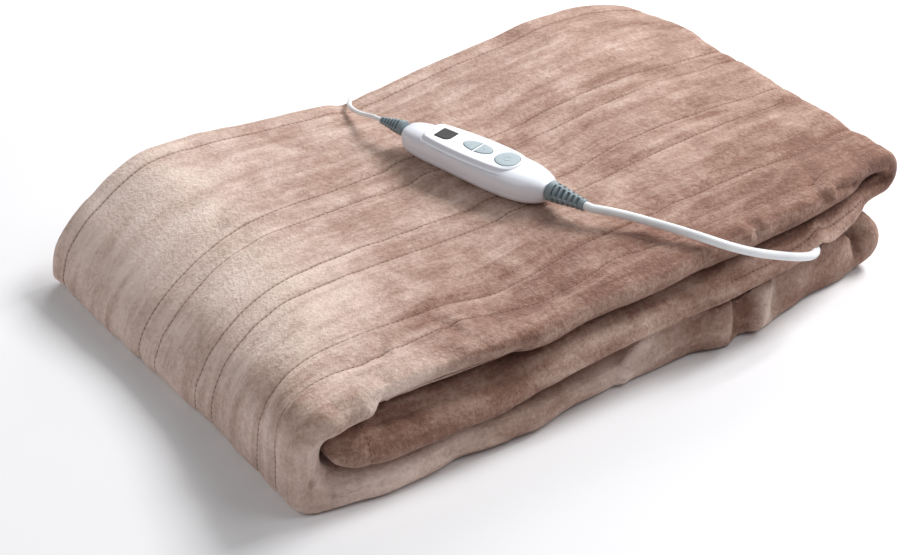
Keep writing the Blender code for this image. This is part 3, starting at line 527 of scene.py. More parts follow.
@dataclass(frozen=True)
class MouldedPlastic:
    """An injection-moulded plastic: one tone with the faint cloud and spark grain of its tool.

    The eye sees a smooth skin whose highlight breaks up very slightly.
    """

    name: str
    colour: str
    shade: str
    roughness: float
    spread: float = 0.06          # how far the roughness wanders either way
    cloud_mm: float = 9.0
    spark_mm: float = 0.7
    grain_depth_mm: float = 0.02
    coat: float = 0.0
    ior: float = 1.53
    specular: float = 0.5

    def material(self) -> Material:
        """Build the finish's node tree.

        Returns:
            The material.
        """
        material, tree, shader, place = blank_material(self.name)
        cloud = add_node(tree, "TexNoise", {"Vector": place},
                         {"Scale": per_metre(self.cloud_mm), "Detail": 2.0})
        spark = add_node(tree, "TexNoise", {"Vector": place},
                         {"Scale": per_metre(self.spark_mm), "Detail": 1.0})
        tint(tree, shader, cloud, ((0.30, self.shade), (0.70, self.colour)))
        rough = add_node(tree, "MapRange", {"Value": cloud.outputs["Fac"]},
                         {"From Min": 0.3, "From Max": 0.7, "To Min": self.roughness - self.spread,
                          "To Max": self.roughness + self.spread})
        tree.links.new(rough.outputs[0], shader.inputs["Roughness"])
        bump = add_node(tree, "Bump", {"Height": spark.outputs["Fac"]},
                        {"Strength": 0.25, "Distance": self.grain_depth_mm * MM})
        tree.links.new(bump.outputs["Normal"], shader.inputs["Normal"])
        set_inputs(shader, {"IOR": self.ior, "Specular IOR Level": self.specular,
                            "Coat Weight": self.coat, "Coat Roughness": 0.08})
        return material


@dataclass(frozen=True)
class PlatedBrass:
    """Nickel-plated brass pins, drawn and tumbled: bright, with fine scuffs."""

    name: str = "nickel_plated_brass"
    colour: str = "#CFCDC8"
    worn: str = "#B9B4A8"
    roughness: float = 0.22
    scuff_mm: float = 1.4

    def material(self) -> Material:
        """Build the finish's node tree.

        Returns:
            The material.
        """
        material, tree, shader, place = blank_material(self.name)
        drawn = add_node(tree, "Mapping", {"Vector": place}, {"Scale": (0.15, 1.0, 1.0)})
        scuffs = add_node(tree, "TexNoise", {"Vector": drawn.outputs["Vector"]},
                          {"Scale": per_metre(self.scuff_mm), "Detail": 3.0})
        tint(tree, shader, scuffs, ((0.35, self.worn), (0.60, self.colour)))
        rough = add_node(tree, "MapRange", {"Value": scuffs.outputs["Fac"]},
                         {"To Min": self.roughness - 0.08, "To Max": self.roughness + 0.12})
        tree.links.new(rough.outputs[0], shader.inputs["Roughness"])
        set_inputs(shader, {"Metallic": 1.0})
        return material


class Plastic(Enum):
    """The moulded plastics of the handset, leads and plug."""

    HOUSING = MouldedPlastic("moulded_white_abs", "#F1F3FB", "#EEF0F9", 0.32, spread=0.015,
                             cloud_mm=28.0, grain_depth_mm=0.008, coat=0.2)
    KEYS = MouldedPlastic("moulded_grey_blue_abs", "#A3B2B9", "#9DADB4", 0.5, spread=0.02)
    DISPLAY = MouldedPlastic("smoked_acrylic_window", "#1B1B1D", "#161618", 0.42, spread=0.03,
                             grain_depth_mm=0.004, ior=1.49, specular=0.15)
    SLEEVE = MouldedPlastic("flexible_grey_pvc", "#8D9CA3", "#7C8B92", 0.52, spark_mm=1.1)
    SHEATH = MouldedPlastic("white_pvc_sheath", "#F3F4F6", "#EBECEF", 0.34, cloud_mm=16.0,
                            spark_mm=1.3)


# ---------------------------------------------------------------- studio
def direction(bearing: float, height: float) -> Vector:
    """Point out from the middle at a bearing from +X and a height, both in degrees."""
    turn, rise = math.radians(bearing), math.radians(height)
    return Vector((math.cos(turn) * math.cos(rise), math.sin(turn) * math.cos(rise), math.sin(rise)))


def aimed(name: str, data: ID, place: Vector, target: Vector) -> Object:
    """Put a camera or a light in its place, level and looking at a target.

    Args:
        name: The object's name.
        data: The camera or light.
        place: Where it stands.
        target: What it looks at.

    Returns:
        The new object.
    """
    obj = added(name, data)
    obj.location = place
    obj.rotation_mode = "QUATERNION"
    obj.rotation_quaternion = (target - place).to_track_quat("-Z", "Y")
    return obj


@dataclass(frozen=True)
class SoftLight:
    """A square soft box that looks at the blanket from a bearing and a height, in degrees."""

    name: str
    bearing: float
    height: float
    power: float
    size: float = 1.0
    distance: float = 1.9
    target: tuple = (0.0, 0.0, 0.03)

    def build(self) -> None:
        """Hang the light and turn it to the blanket's middle."""
        lamp = bpy.data.lights.new(self.name, "AREA")
        lamp.shape = "SQUARE"
        lamp.size = self.size
        lamp.energy = self.power
        place = direction(self.bearing, self.height) * self.distance
        aimed(self.name, lamp, place, Vector(self.target))


@dataclass(frozen=True)
class Studio:
    """The camera at the photograph's angle, the pale table and the soft lights."""

    azimuth: float = -35.4
    elevation: float = 33.5
    lens_mm: float = 99.3
    distance: float = 1.634
    target: tuple = (-0.0603, -0.0424, 0.0434)
    table_half: float = 6.0
    table_low: float = -0.2 * MM
    ambient: float = 0.12
    lights: tuple = (
        SoftLight("key_softbox", 0.0, 48.0, 30.0, size=0.65),
        SoftLight("rim_softbox", 45.0, 32.0, 17.0),
        SoftLight("fill_softbox", 180.0, 40.0, 7.2),
        SoftLight("front_softbox", 315.0, 50.0, 7.5),
    )

    def camera(self) -> None:
        """Set the camera on its sphere round the target; azimuth 0 is straight in front."""
        lens = bpy.data.cameras.new("camera")
        lens.lens = self.lens_mm
        lens.sensor_width = 36.0
        target = Vector(self.target)
        place = target + direction(self.azimuth - 90.0, self.elevation) * self.distance
        bpy.context.scene.camera = aimed("camera", lens, place, target)

    def table(self) -> None:
        """Lay the plain pale table top, a square a hair under the blanket."""
        material, tree, shader, place = blank_material("matt_white_laminate")
        cloud = add_node(tree, "TexNoise", {"Vector": place}, {"Scale": per_metre(400.0)})
        tint(tree, shader, cloud, ((0.3, "#F6F6F8"), (0.7, "#F8F8FA")))
        set_inputs(shader, {"Roughness": 0.7, "Specular IOR Level": 0.2})
        half, low = self.table_half, self.table_low
        corners = [(-half, -half, low), (half, -half, low), (half, half, low), (-half, half, low)]
        top = mesh_object("table_top", np.array(corners), [[0, 1, 2, 3]], material, smooth=False)

    def build(self) -> None:
        """Set the view, the table, the lights and the even white surroundings."""
        self.camera()
        self.table()
        for light in self.lights:
            light.build()
        world = bpy.data.worlds.new("white_studio")
        world.use_nodes = True
        set_inputs(world.node_tree.nodes["Background"],
                   {"Color": linear("#FBFCFF"), "Strength": self.ambient})
        bpy.context.scene.world = world
        bpy.context.scene.view_settings.view_transform = "Standard"


# ---------------------------------------------------------------- the folded cloth
class Layers(NamedTuple):
    """Layer thicknesses and the height of the second layer's underside at x, in mm."""

    x: float
    bottom: float
    third: float
    under_second: float
    second: float
    top: float


class Wrap(NamedTuple):
    """The left wrap at y, in mm: start of its turn, how far out it stands, its squareness."""

    y: float
    top_x: float
    widest_x: float
    power: float


class Front(NamedTuple):
    """How far each layer's lip stands back from the front of the box at x, in mm."""

    x: float
    top: float
    second: float
    bottom: float
    third: float


class Lip(NamedTuple):
    """A point of a layer's front lip for its three shapes.

    Each has a distance in from the lip in mm, and a place in the thickness from +0.5 on
    the outer face to -0.5 on the inner one.
    """

    round_in: float
    round_at: float
    slant_in: float
    slant_at: float
    apron_in: float
    apron_at: float


class Swell(NamedTuple):
    """A soft rise or hollow of the whole stack, in mm."""

    x: float
    y: float
    across_x: float
    across_y: float
    rise: float


class Crease(NamedTuple):
    """A soft crease of the outer cloth, in mm and degrees from +X; deep is down if positive."""

    x: float
    y: float
    turn: float
    half_length: float
    half_width: float
    deep: float


class Fold(NamedTuple):
    """A fold of the cloth from one place to another, in mm; rise is a ridge if positive."""

    x: float
    y: float
    z: float
    end_x: float
    end_y: float
    end_z: float
    half_width: float
    rise: float


LAYERS = tuple(Layers(*row) for row in (
    (-205, 22.5, 16.5, 26.5, 24.5, 22.5),
    (-120, 24.5, 16.5, 27.0, 23.5, 22.5),
    (-50, 21.0, 16.0, 34.5, 18.5, 19.0),
    (10, 18.5, 15.5, 36.5, 18.0, 18.5),
    (50, 18.5, 16.5, 38.0, 18.0, 18.5),
    (85, 18.5, 18.0, 40.0, 18.5, 19.0),
    (120, 19.0, 19.5, 42.0, 18.5, 19.0),
    (160, 20.0, 21.0, 44.0, 17.5, 18.5),
    (215, 20.5, 22.5, 46.0, 15.5, 16.5),
))
WRAP = tuple(Wrap(*row) for row in (
    (-150, -209, -251.5, 4.0),
    (-125, -196, -251.5, 3.6),
    (-100, -182, -250.0, 3.0),
    (-20, -157, -248.0, 1.9),
    (50, -152, -250.0, 1.6),
    (100, -160, -251.0, 1.7),
    (150, -172, -249.5, 1.95),
))
# The pairs below are x and a measure in mm or a share: the top's height along the hem, the
# layers that hang as an apron or slant in at the lip, the hem's inset, the rounding of a
# free end by the distance from it.
EDGE = ((-215, 67), (-168, 78), (-129, 76), (-89, 71), (-48, 67), (-28, 65), (-10, 60.5),
        (8, 62.5), (38, 66), (82, 70.5), (127, 74), (155, 78), (185, 77), (212, 75), (241, 68))
FRONTS = tuple(Front(*row) for row in (
    (-250, 17, 10, 17, 27), (-212, 13, 4, 6, 27), (-187, 11, 2, 2, 27),
    (-166, 11, 1, 1.5, 27), (-140, 12, 0, 3, 27), (-115, 12, 0, 1, 27),
    (-88, 10, 1, 0, 27), (-72, 9, 2, 1.5, 27), (-58, 8, 1, 4, 27),
    (-35, 8, 1, 6.5, 27), (0, 11, 2, 8, 27), (50, 10, 3, 9, 27),
    (66, 11, 2, 4, 27), (77, 12, 1, 2, 27), (92, 12, 1, 7, 27),
    (110, 11, 1, 5.5, 27), (130, 12, 3, 10, 28), (160, 13, 6, 15, 31),
    (195, 19, 15, 18, 33), (207, 22, 20, 21, 30), (218, 27, 26, 17, 19),
    (252, 33, 33, 27, 27),
))
APRON_RISE = ((-8, 0.0), (22, 1.0), (188, 1.0), (208, 0.0))
LIP_SLANT = ((-226, 0.0), (-204, 0.5), (-180, 1.0), (170, 1.0), (225, 0.0))
BACK_INSET = ((-250, 3), (-200, 0), (190, 0), (225, 5), (252, 16))
END_ROUND = ((0.0, 0.32), (2.0, 0.62), (6.0, 0.84), (12.0, 0.95), (20.0, 1.0))
SWELLS = tuple(Swell(*row) for row in (
    (22, -112, 55, 45, 3.0),
    (38, 32, 48, 52, -1.5),
    (-72, -118, 32, 34, -2.5),
    (150, -5, 55, 50, 1.5),
    (-150, 20, 50, 50, -1.0),
))
LIPS = tuple(Lip(*row) for row in (
    (13.0, 0.500, 13.0, 0.500, 13.0, 0.500),
    (5.0, 0.460, 4.0, 0.500, 4.5, 0.500),
    (1.2, 0.300, 0.3, 0.400, 0.8, 0.340),
    (0.0, 0.050, 2.6, 0.130, 0.0, -0.150),
    (1.2, -0.220, 6.4, -0.130, 1.4, -0.800),
    (4.2, -0.420, 10.6, -0.350, 5.0, -1.320),
    (9.0, -0.490, 15.0, -0.460, 11.0, -1.120),
    (15.5, -0.500, 21.0, -0.500, 14.5, -0.500),
))
# The folded hems at the back: distance in from the edge in mm, and place in the thickness.
HEMS = ((13.0, -0.500), (5.0, -0.450), (2.5, -0.270), (4.5, -0.080), (12.0, -0.030),
        (3.5, 0.020), (1.5, 0.110), (3.0, 0.205), (10.0, 0.240), (1.2, 0.285),
        (0.0, 0.390), (2.5, 0.490))
# The sewn lines' y in mm, and how far each wanders from it along x.
STITCH_LINES = (("hem", 149.0), ("1a", 51.9), ("1b", 31.6), ("2a", -19.8), ("2b", -41.8),
                ("3a", -106.5), ("3b", -135.5))
WANDER_X = (-245, -183, -110, -70, -30, 10, 50, 100, 180)
WANDER = (
    (0, 0, 0, 0, 0, 0, 0, 0, 0),
    (-9, -2, 2, 2, 2, 0, -3, -1, -2),
    (-9, -1, 1, 0, -1, -2, -2, -2, -1),
    (-8, 1, 3, 2, 0, -2, -3, 2, -1),
    (-7, 2, 2, 1, 0, -1, -2, -2, -1),
    (-5, 1, -1, -4, -1, 2, 2, 2, 0),
    (-4, 3, 3, -1, -3, 2, -4, -7, -9),
)
# The layers that each turn joins, and the strip's stretches in order with their sections.
TURNS = {"upper_fold": ("second", "top"), "wrap": ("top", "bottom"), "lower_fold": ("bottom", "third")}
RUNS = {"second": 92, "upper_fold": 20, "top": 150, "wrap": 56, "bottom": 68, "lower_fold": 14,
        "third": 20}
CREASES = tuple(Crease(*row) for row in (
    (-168, -118, 62, 15, 4.0, 1.1),
    (-196, -128, 15, 20, 4.5, 1.3),
    (-184, -132, -10, 16, 4.5, -0.9),
    (-120, -128, 100, 17, 4.0, 1.3),
    (-108, -130, 104, 15, 4.5, -0.8),
    (-92, -128, 70, 13, 4.0, 1.0),
    (-30, -118, 20, 22, 5.0, 1.0),
    (40, -122, 8, 26, 5.5, 1.2),
    (60, -100, -6, 34, 6.0, -1.0),
    (120, -120, 12, 24, 5.0, 1.1),
    (150, -84, 5, 32, 6.0, 1.0),
    (-140, -68, 24, 22, 5.0, 0.9),
    (-60, -72, 10, 26, 5.5, 1.0),
    (-30, -88, 6, 30, 5.0, -0.9),
    (70, -70, 4, 36, 6.0, 0.9),
    (110, 10, 8, 30, 6.0, 0.9),
    (170, 40, 12, 26, 6.0, 1.0),
    (95, 84, 10, 34, 7.0, 1.0),
    (20, 104, 14, 30, 7.0, 1.1),
    (-60, 86, 22, 30, 7.0, 0.9),
    (-132, 96, 34, 26, 6.5, 1.0),
    (-170, 70, 50, 20, 6.0, 1.0),
))

FOLDS = tuple(Fold(*row) for row in (
    # the shaded hollow under the top layer's lip, and the crevice that goes on from it
    (-186, -152, 53, -92, -153, 55, 10, -7.0),
    (-92, -153, 55, 60, -150, 57, 4, -2.2),
    # notches and a bulge of that lip beside the curl
    (-222, -149, 71, -209, -154, 64, 3.2, -3.8),
    (-230, -152, 66, -221, -155, 58, 6, 2.0),
    (-203, -153, 63, -196, -153, 58, 6, 3.2),
    (-190, -152, 58, -184, -146, 74, 3.6, -2.2),
    (-142, -154, 64, -138, -148, 76, 4.0, -1.8),
    # the second layer's front beside its free end
    (-182, -151, 55, -178, -157, 41, 3.6, 2.2),
    (-172, -151, 50, -170, -157, 39, 4.5, -3.0),
    # the wrap's crease and the folds at the bottom layer's start
    (-231, -149, 38, -240, -151, 23, 2.2, -2.2),
    (-240, -151, 23, -246, -149, 14, 2.2, -1.8),
    (-229, -151, 25, -227, -156, 10, 2.6, -2.4),
    (-219, -153, 24, -217, -158, 9, 3.0, -1.6),
    # the lips at the right
    (92, -148, 80, 97, -152, 74, 6, 2.2),
    (103, -146, 80, 104, -153, 74, 3.0, -2.4),
    (111, -148, 79, 113, -153, 73, 6, 1.8),
    (60, -148, 78, 66, -153, 70, 4.0, -1.8),
    (178, -116, 84, 160, -146, 80, 4.5, -2.4),
    (190, -120, 83, 172, -147, 79, 5.0, 1.6),
    (166, -149, 79, 166, -150, 75, 3.2, -2.2),
    (174, -148, 78, 174, -149, 74, 3.2, 2.0),
    (180, -147, 78, 203, -143, 71, 3.2, -3.4),
    (203, -143, 71, 237, -132, 59, 3.6, -3.6),
    # the shade under the second layer's hanging lip
    (20, -148, 20, 68, -153, 29, 7, -2.4),
    (68, -153, 29, 112, -154, 37, 7, -1.6),
    (112, -154, 37, 150, -148, 41, 6, -1.4),
    # the layers that hang below it
    (74, -158, 33, 71, -163, 12, 4.6, 4.6),
    (91, -155, 33, 87, -160, 10, 6.5, -7.0),
    (113, -153, 33, 104, -158, 8, 5.0, 6.0),
    (129, -151, 31, 122, -156, 12, 6.0, -4.0),
    (152, -150, 32, 146, -155, 12, 7.0, 2.0),
    (206, -134, 31, 207, -143, 17, 3.6, -3.0),
    (-9, -150, 20, -14, -159, 4, 3.6, -3.2),
    (2, -153, 23, -6, -158, 3, 4.4, 2.2),
    (-139, -158, 12, -138, -163, 3, 4.0, -2.0),
    (-96, -160, 14, -95, -165, 3, 5.0, -1.4),
    (40, -156, 17, 36, -160, 4, 4.0, -1.8),
))
# Painted light and shade on the drapes at the lower front, lighter on lit sides and darker on shaded ones: x
# and reach in mm, and the tone's rise.
PAINTED_DRAPE_LIGHT_AND_SHADE = ((-10, 25, 0.20), (56, 15, -0.07), (95, 8, -0.14), (112, 11, 0.24), (167, 25, -0.08))


class Edge(Enum):
    """Where round a layer's section a column of the cloth lies."""

    LIP = 0
    INNER = 1
    HEM = 2
    OUTER = 3


@dataclass
class Columns:
    """The columns of the cloth's grid round its section, one entry for each.

    Attributes:
        edge: Which stretch each column is on, as an Edge value.
        lip: Place along the table of lips, for lip columns.
        y: Distance across the blanket before the lines wander.
        at: Place in the thickness.
        line: Distance from the nearest sewn line.
        puff: Place between two sewn lines, 0 on either and 1 midway.
        sway: Share of each sewn line's wander that the column takes.
    """

    edge: np.ndarray
    lip: np.ndarray
    y: np.ndarray
    at: np.ndarray
    line: np.ndarray
    puff: np.ndarray
    sway: np.ndarray


@dataclass
class Sheet:
    """The cloth's grid: sections along the strip by columns round it.

    Attributes:
        points: Array of shape (sections, columns, 3).
        runs: Each section's run.
        col: The columns.
        normal: Outward unit normals, before the cloth is crumpled.
        path: Length along the strip to each section, at the middle of its outer face.
        across: Mean length round the strip to each column.
    """

    points: np.ndarray
    runs: np.ndarray
    col: Columns
    normal: np.ndarray = field(init=False)
    path: np.ndarray = field(init=False)
    across: np.ndarray = field(init=False)

    def __post_init__(self) -> None:
        """Work out lengths, and normals as the cross product of the grid's differences."""
        rolled = (np.roll(self.points, -1, axis=1) - np.roll(self.points, 1, axis=1)) / 2
        normal = np.cross(np.gradient(self.points, axis=0), rolled)
        self.normal = normal / np.maximum(np.linalg.norm(normal, axis=-1, keepdims=True), 1e-12)
        outer = np.nonzero(self.round(Edge.OUTER))[0]
        middle = outer[np.argmin(np.abs(self.col.y[outer]))]
        self.path = lengths_along(self.points[:, middle])
        around = np.linalg.norm(np.diff(self.points, axis=1), axis=-1).mean(axis=0)
        self.across = np.concatenate([[0], np.cumsum(around)])

    def on(self, *runs: str) -> np.ndarray:
        """Mark the sections of the named runs, one row of the grid each."""
        return np.isin(self.runs, runs)[:, None]

    def round(self, edge: Edge) -> np.ndarray:
        """Mark the columns on one stretch of the section."""
        return self.col.edge == edge.value


@dataclass
class FoldedBlanket:
    """The quilted strip, folded back and forth into a block with a wrap at its left.

    The cloth is a grid: sections stand along the strip's own path, and columns run round
    its section by the front lip, the inner face, the back hems and the outer face.
    """

    length: float = 503 * MM
    width: float = 330 * MM
    lower_fold_x: float = 228 * MM
    second_end_front_x: float = -227 * MM
    corner_reach: float = 22 * MM
    corner_in: float = 7 * MM
    second_end_back_x: float = -200 * MM
    second_slim: float = 0.32
    third_end_x: float = 4 * MM
    layer_gap: float = 1.5 * MM
    wrap_foot_x: float = -238 * MM
    wrap_widest_z: float = 12 * MM
    wrap_foot_power: float = 2.2
    wrap_thick: float = 22 * MM
    wrap_hollow_z: float = 37 * MM
    wrap_hollow_x: float = -211 * MM
    groove_deep: float = 0.95 * MM
    groove_half: float = 1.3 * MM
    draw_deep: float = 0.45 * MM
    draw_half: float = 8.0 * MM
    puff_rise: float = 0.4 * MM
    lip_droop: float = 0.020
    droop_reach: float = 30 * MM
    edge_reach: float = 75 * MM
    swell_top_mm: float = 78.0
    trench_x: float = 162 * MM
    trench_half: float = 7.0 * MM
    trench_up: float = 6.0 * MM
    trench_down: float = 2.3 * MM
    trench_lean: float = 6.0 * MM
    seat_length: float = 128 * MM
    seat_width: float = 40 * MM
    seat_edge: float = 14 * MM
    slip: float = 0.3 * MM
    end_seam_in: float = 23 * MM         # from the second layer's free end to its seam
    front_seam_lip: float = 3.8          # place of its front seam along the table of lips
    lip_step: float = 5.0 * MM           # length of one step of that table

    # ---- the grid's columns
    def columns(self) -> Columns:
        """Lay out the columns: the lip, a coarse inside, the hems, the outer face.

        Returns:
            The columns in order round the section.
        """
        half = self.width / 2
        lip = np.linspace(0, len(LIPS) - 1, 27)
        inner = np.linspace(-half + 26 * MM, half - 22 * MM, 14)
        hem = np.linspace(0, len(HEMS) - 1, 37)
        outer, line, puff, sway = self._outer_columns()
        blank = [np.zeros(len(part)) for part in (lip, inner, hem, outer)]
        hem_in, hem_at = (smooth_between(range(len(HEMS)), column, hem) for column in zip(*HEMS))
        counts = (len(lip), len(inner), len(hem), len(outer))
        no_sway = np.zeros((sum(counts[:3]), len(STITCH_LINES)))
        return Columns(
            edge=np.repeat([edge.value for edge in Edge], counts),
            lip=np.concatenate([lip, *blank[1:]]),
            y=np.concatenate([blank[0], inner, half - hem_in * MM, outer]),
            at=np.concatenate([blank[0], blank[1] - 0.5, hem_at, blank[3] + 0.5]),
            line=np.concatenate([*[part + 1.0 for part in blank[:3]], line]),
            puff=np.concatenate([*blank[:3], puff]),
            sway=np.concatenate([no_sway, sway]),
        )

    def _outer_columns(self) -> tuple:
        """Set the outer face's columns, close beside each sewn line and wider between.

        Returns:
            Each column's y, distance from a line, place between lines, and share of
            each line's wander.
        """
        half = self.width / 2
        near = np.array([0.0, 0.7, 1.6, 2.8, 4.4, 6.4]) * MM
        anchors = [half - 4.5 * MM, *[y * MM for _, y in STITCH_LINES], -half + 15.5 * MM]
        ys, lines, puffs, sways = [], [], [], []
        last = len(anchors) - 2
        for i, (high, low) in enumerate(zip(anchors, anchors[1:])):
            gap = high - low
            starts = near[near < gap / 2 - 0.6 * MM] if i > 0 else np.array([0.0, 2.6, 5.2]) * MM
            stops = near[(near < gap / 2 - 0.6 * MM) & (near > 0)] if i < last else near[:0]
            free = gap - starts[-1] - (stops[-1] if len(stops) else 0.0)
            inner = np.linspace(0, free, max(int(round(free / (2.55 * MM))), 2) + 1)[1:-1]
            down = np.concatenate([starts, starts[-1] + inner, gap - stops[::-1]])
            share = down / gap
            ys.append(high - down)
            to_line = np.full(len(down), 1.0)
            to_line = np.minimum(to_line, down) if i > 0 else to_line
            lines.append(np.minimum(to_line, gap - down) if i < last else to_line)
            between = 0 < i < last
            puffs.append(np.sin(math.pi * share) ** 2 * between)
            sway = np.zeros((len(down), len(STITCH_LINES)))
            if i > 0:
                sway[:, i - 1] = 1 - share
            if i < last:
                sway[:, i] = share
            sways.append(sway)
        return tuple(np.concatenate(part) for part in (ys, lines, puffs, sways))

    # ---- the strip's path
    def levels(self, x: np.ndarray) -> dict:
        """Give the four layers' middle heights and thicknesses at x.

        Args:
            x: Distance along the blanket.

        Returns:
            Layer name to (middle height, thickness).
        """
        bottom, third, under_second, second, top = (
            read_rows(LAYERS, name, np.asarray(x) / MM) * MM for name in Layers._fields[1:])
        return {
            "bottom": (bottom / 2, bottom),
            "third": (bottom + self.layer_gap + third / 2, third),
            "second": (under_second + second / 2, second),
            "top": (under_second + second + self.layer_gap + top / 2, top),
        }

    def fold_roots(self) -> tuple:
        """Find where the upper and the lower right-hand folds start to turn.

        Returns:
            The two places along the blanket.
        """
        levels = self.levels(self.length / 2)
        roots = []
        for fold, reach_x in (("upper_fold", self.length / 2), ("lower_fold", self.lower_fold_x)):
            low, high = (levels[name] for name in TURNS[fold])
            roots.append(reach_x - (high[0] - low[0]) / 2 - (high[1] + low[1]) / 4)
        return tuple(roots)

    def wrap_at(self, y: np.ndarray) -> tuple:
        """Read the wrap's start of turn, widest x and power at each y."""
        top_x, widest_x, power = (read_rows(WRAP, name, y / MM) for name in Wrap._fields[1:])
        return top_x * MM, widest_x * MM, power

    def path(self, run: str, share: np.ndarray, y: np.ndarray) -> tuple:
        """Follow the layer's middle along a run.

        Args:
            run: Name of the run.
            share: Place along it, from 0 to 1.
            y: Distance across the blanket.

        Returns:
            Middle x, middle z and thickness.
        """
        upper_x, lower_x = self.fold_roots()
        if run in ("second", "third"):
            back = smoothstep(-self.width / 2, self.width / 2, y)
            second_end = self.second_end_front_x + (self.second_end_back_x - self.second_end_front_x) * back
            end = second_end if run == "second" else self.third_end_x + 0 * y
            root = upper_x if run == "second" else lower_x
            x = end + (root - end) * (share if run == "second" else 1 - share)
            middle, thick = self.levels(x)[run]
            if run == "second":
                lost = thick * self.second_slim * back * (1.0 - smoothstep(-200 * MM, -140 * MM, x))
                middle, thick = middle - lost / 2, thick - lost
            rounding = np.interp(np.abs(x - end) / MM, *zip(*END_ROUND))
            return x, middle, thick * rounding
        if run == "top":
            x = upper_x + (self.wrap_at(y)[0] - upper_x) * share
            return x, *self.levels(x)["top"]
        if run == "bottom":
            x = self.wrap_foot_x + (lower_x - self.wrap_foot_x) * share + 0 * y
            return x, *self.levels(x)["bottom"]
        start = upper_x if run == "upper_fold" else lower_x
        levels = self.levels(np.array(start))
        (low_z, low_thick), (high_z, high_thick) = (levels[name] for name in TURNS[run])
        angle = (share - 0.5) * math.pi
        half = (high_z - low_z) / 2
        middle = (low_z + high_z) / 2 + half * np.sin(angle) + 0 * y
        thick = low_thick + (high_thick - low_thick) * share + 0 * y
        return start + half * np.cos(angle) + 0 * y, middle, thick

    def wrap_faces(self, share: np.ndarray, y: np.ndarray) -> tuple:
        """Turn the wrap's outer and inner faces: quarter superellipses above and below.

        Args:
            share: Place round the turn, 0 at the top and 1 at the foot.
            y: Distance across the blanket.

        Returns:
            Outer and inner face, each as a pair of x and z.
        """
        top_x, widest_x, power = self.wrap_at(y)
        top_middle, top_thick = self.levels(top_x)["top"]
        foot_thick = self.levels(np.array(self.wrap_foot_x))["bottom"][1]
        inner_x = widest_x + self.wrap_thick
        sin, cos = np.sin(share * math.pi), np.cos(share * math.pi)
        sin = np.maximum(sin, 0.0)
        across, up = sin ** (2 / power), np.maximum(cos, 0.0) ** (2 / power)
        foot = self.wrap_foot_power
        under, down = sin ** (2 / foot), np.maximum(-cos, 0.0) ** (2 / foot)
        top_z, bottom_z = top_middle + top_thick / 2, top_middle - top_thick / 2
        upper = share <= 0.5
        outer = (
            np.where(upper, top_x - (top_x - widest_x) * across,
                     self.wrap_foot_x - (self.wrap_foot_x - widest_x) * under),
            np.where(upper, self.wrap_widest_z + (top_z - self.wrap_widest_z) * up,
                     self.wrap_widest_z * (1 - down)),
        )
        inner = (
            np.where(upper, top_x - (top_x - inner_x) * across,
                     self.wrap_hollow_x - (self.wrap_hollow_x - inner_x) * sin),
            np.where(upper, self.wrap_hollow_z + (bottom_z - self.wrap_hollow_z) * up,
                     self.wrap_hollow_z + (self.wrap_hollow_z - foot_thick) * cos),
        )
        return outer, inner

    def faces(self, run: str, share: np.ndarray, y: np.ndarray) -> tuple:
        """Offset the path both ways along its normal by half the thickness.

        Args:
            run: Name of the run.
            share: Place along it, from 0 to 1.
            y: Distance across the blanket.

        Returns:
            Outer and inner face, each as a pair of x and z.
        """
        if run == "wrap":
            return self.wrap_faces(share, y)
        nudge = 0.004
        x, z, thick = self.path(run, share, y)
        before = self.path(run, np.maximum(share - nudge, 0.0), y)
        after = self.path(run, np.minimum(share + nudge, 1.0), y)
        along_x, along_z = after[0] - before[0], after[1] - before[1]
        size = np.hypot(along_x, along_z) * 2 / thick
        out_x, out_z = along_z / size, -along_x / size
        inner_x = x - out_x
        if run == "bottom":
            near = 1.0 - smoothstep(self.wrap_foot_x, self.wrap_foot_x + 90 * MM, x)
            inner_x = inner_x + (self.wrap_hollow_x - self.wrap_foot_x) * near
        return (x + out_x, z + out_z), (inner_x, z - out_z)

    def blend(self, run: str, share: np.ndarray) -> dict:
        """Share each section out between the layers that its run joins.

        Args:
            run: Name of the run.
            share: Place of each section along it.

        Returns:
            Layer name to its share of each section.
        """
        weights = {name: np.zeros_like(share) for name in ("top", "second", "third", "bottom")}
        start, end = TURNS.get(run, (run, run))
        weights[end] = np.ones_like(share)
        if start != end:
            weights[start] = 1.0 - smoothstep(0.0, 1.0, share)
            weights[end] = 1.0 - weights[start]
        return weights

    # ---- shapes laid over the stack
    def stack_swell(self, x: np.ndarray, y: np.ndarray) -> np.ndarray:
        """Sum the swells (Gaussians), bring the hem to its heights and droop the lips.

        Args:
            x: Distance along the blanket.
            y: Distance across it.

        Returns:
            Rise as a share of the height, for each place.
        """
        rise = np.zeros_like(x)
        for swell in SWELLS:
            reach = ((x / MM - swell.x) / swell.across_x) ** 2 + ((y / MM - swell.y) / swell.across_y) ** 2
            rise = rise + swell.rise * np.exp(-reach)
        levels = self.levels(x)["top"]
        edge = smooth_between(*zip(*EDGE), x / MM) * MM
        hem = edge / (levels[0] + 0.4 * levels[1]) - 1.0
        half = self.width / 2
        back = smoothstep(half - self.edge_reach, half, y)
        front = self.lip_droop * smoothstep(half - self.droop_reach, half, -y)
        return rise / self.swell_top_mm * (1.0 - back) + hem * back - front

    def handset_seat(self, x: np.ndarray, y: np.ndarray) -> np.ndarray:
        """Tell how flat the handset presses the pile, by the distance from its middle line.

        Args:
            x: Distance along the blanket.
            y: Distance across it.

        Returns:
            1 under the handset, falling to 0 well outside it.
        """
        cos, sin = math.cos(Handset.turn), math.sin(Handset.turn)
        along = (x - Handset.x) * cos + (y - Handset.y) * sin
        across = -(x - Handset.x) * sin + (y - Handset.y) * cos
        straight = self.seat_length / 2 - self.seat_width / 2
        beyond = np.hypot(np.maximum(np.abs(along) - straight, 0.0), across)
        return 1.0 - smoothstep(self.seat_width / 2, self.seat_width / 2 + self.seat_edge, beyond)

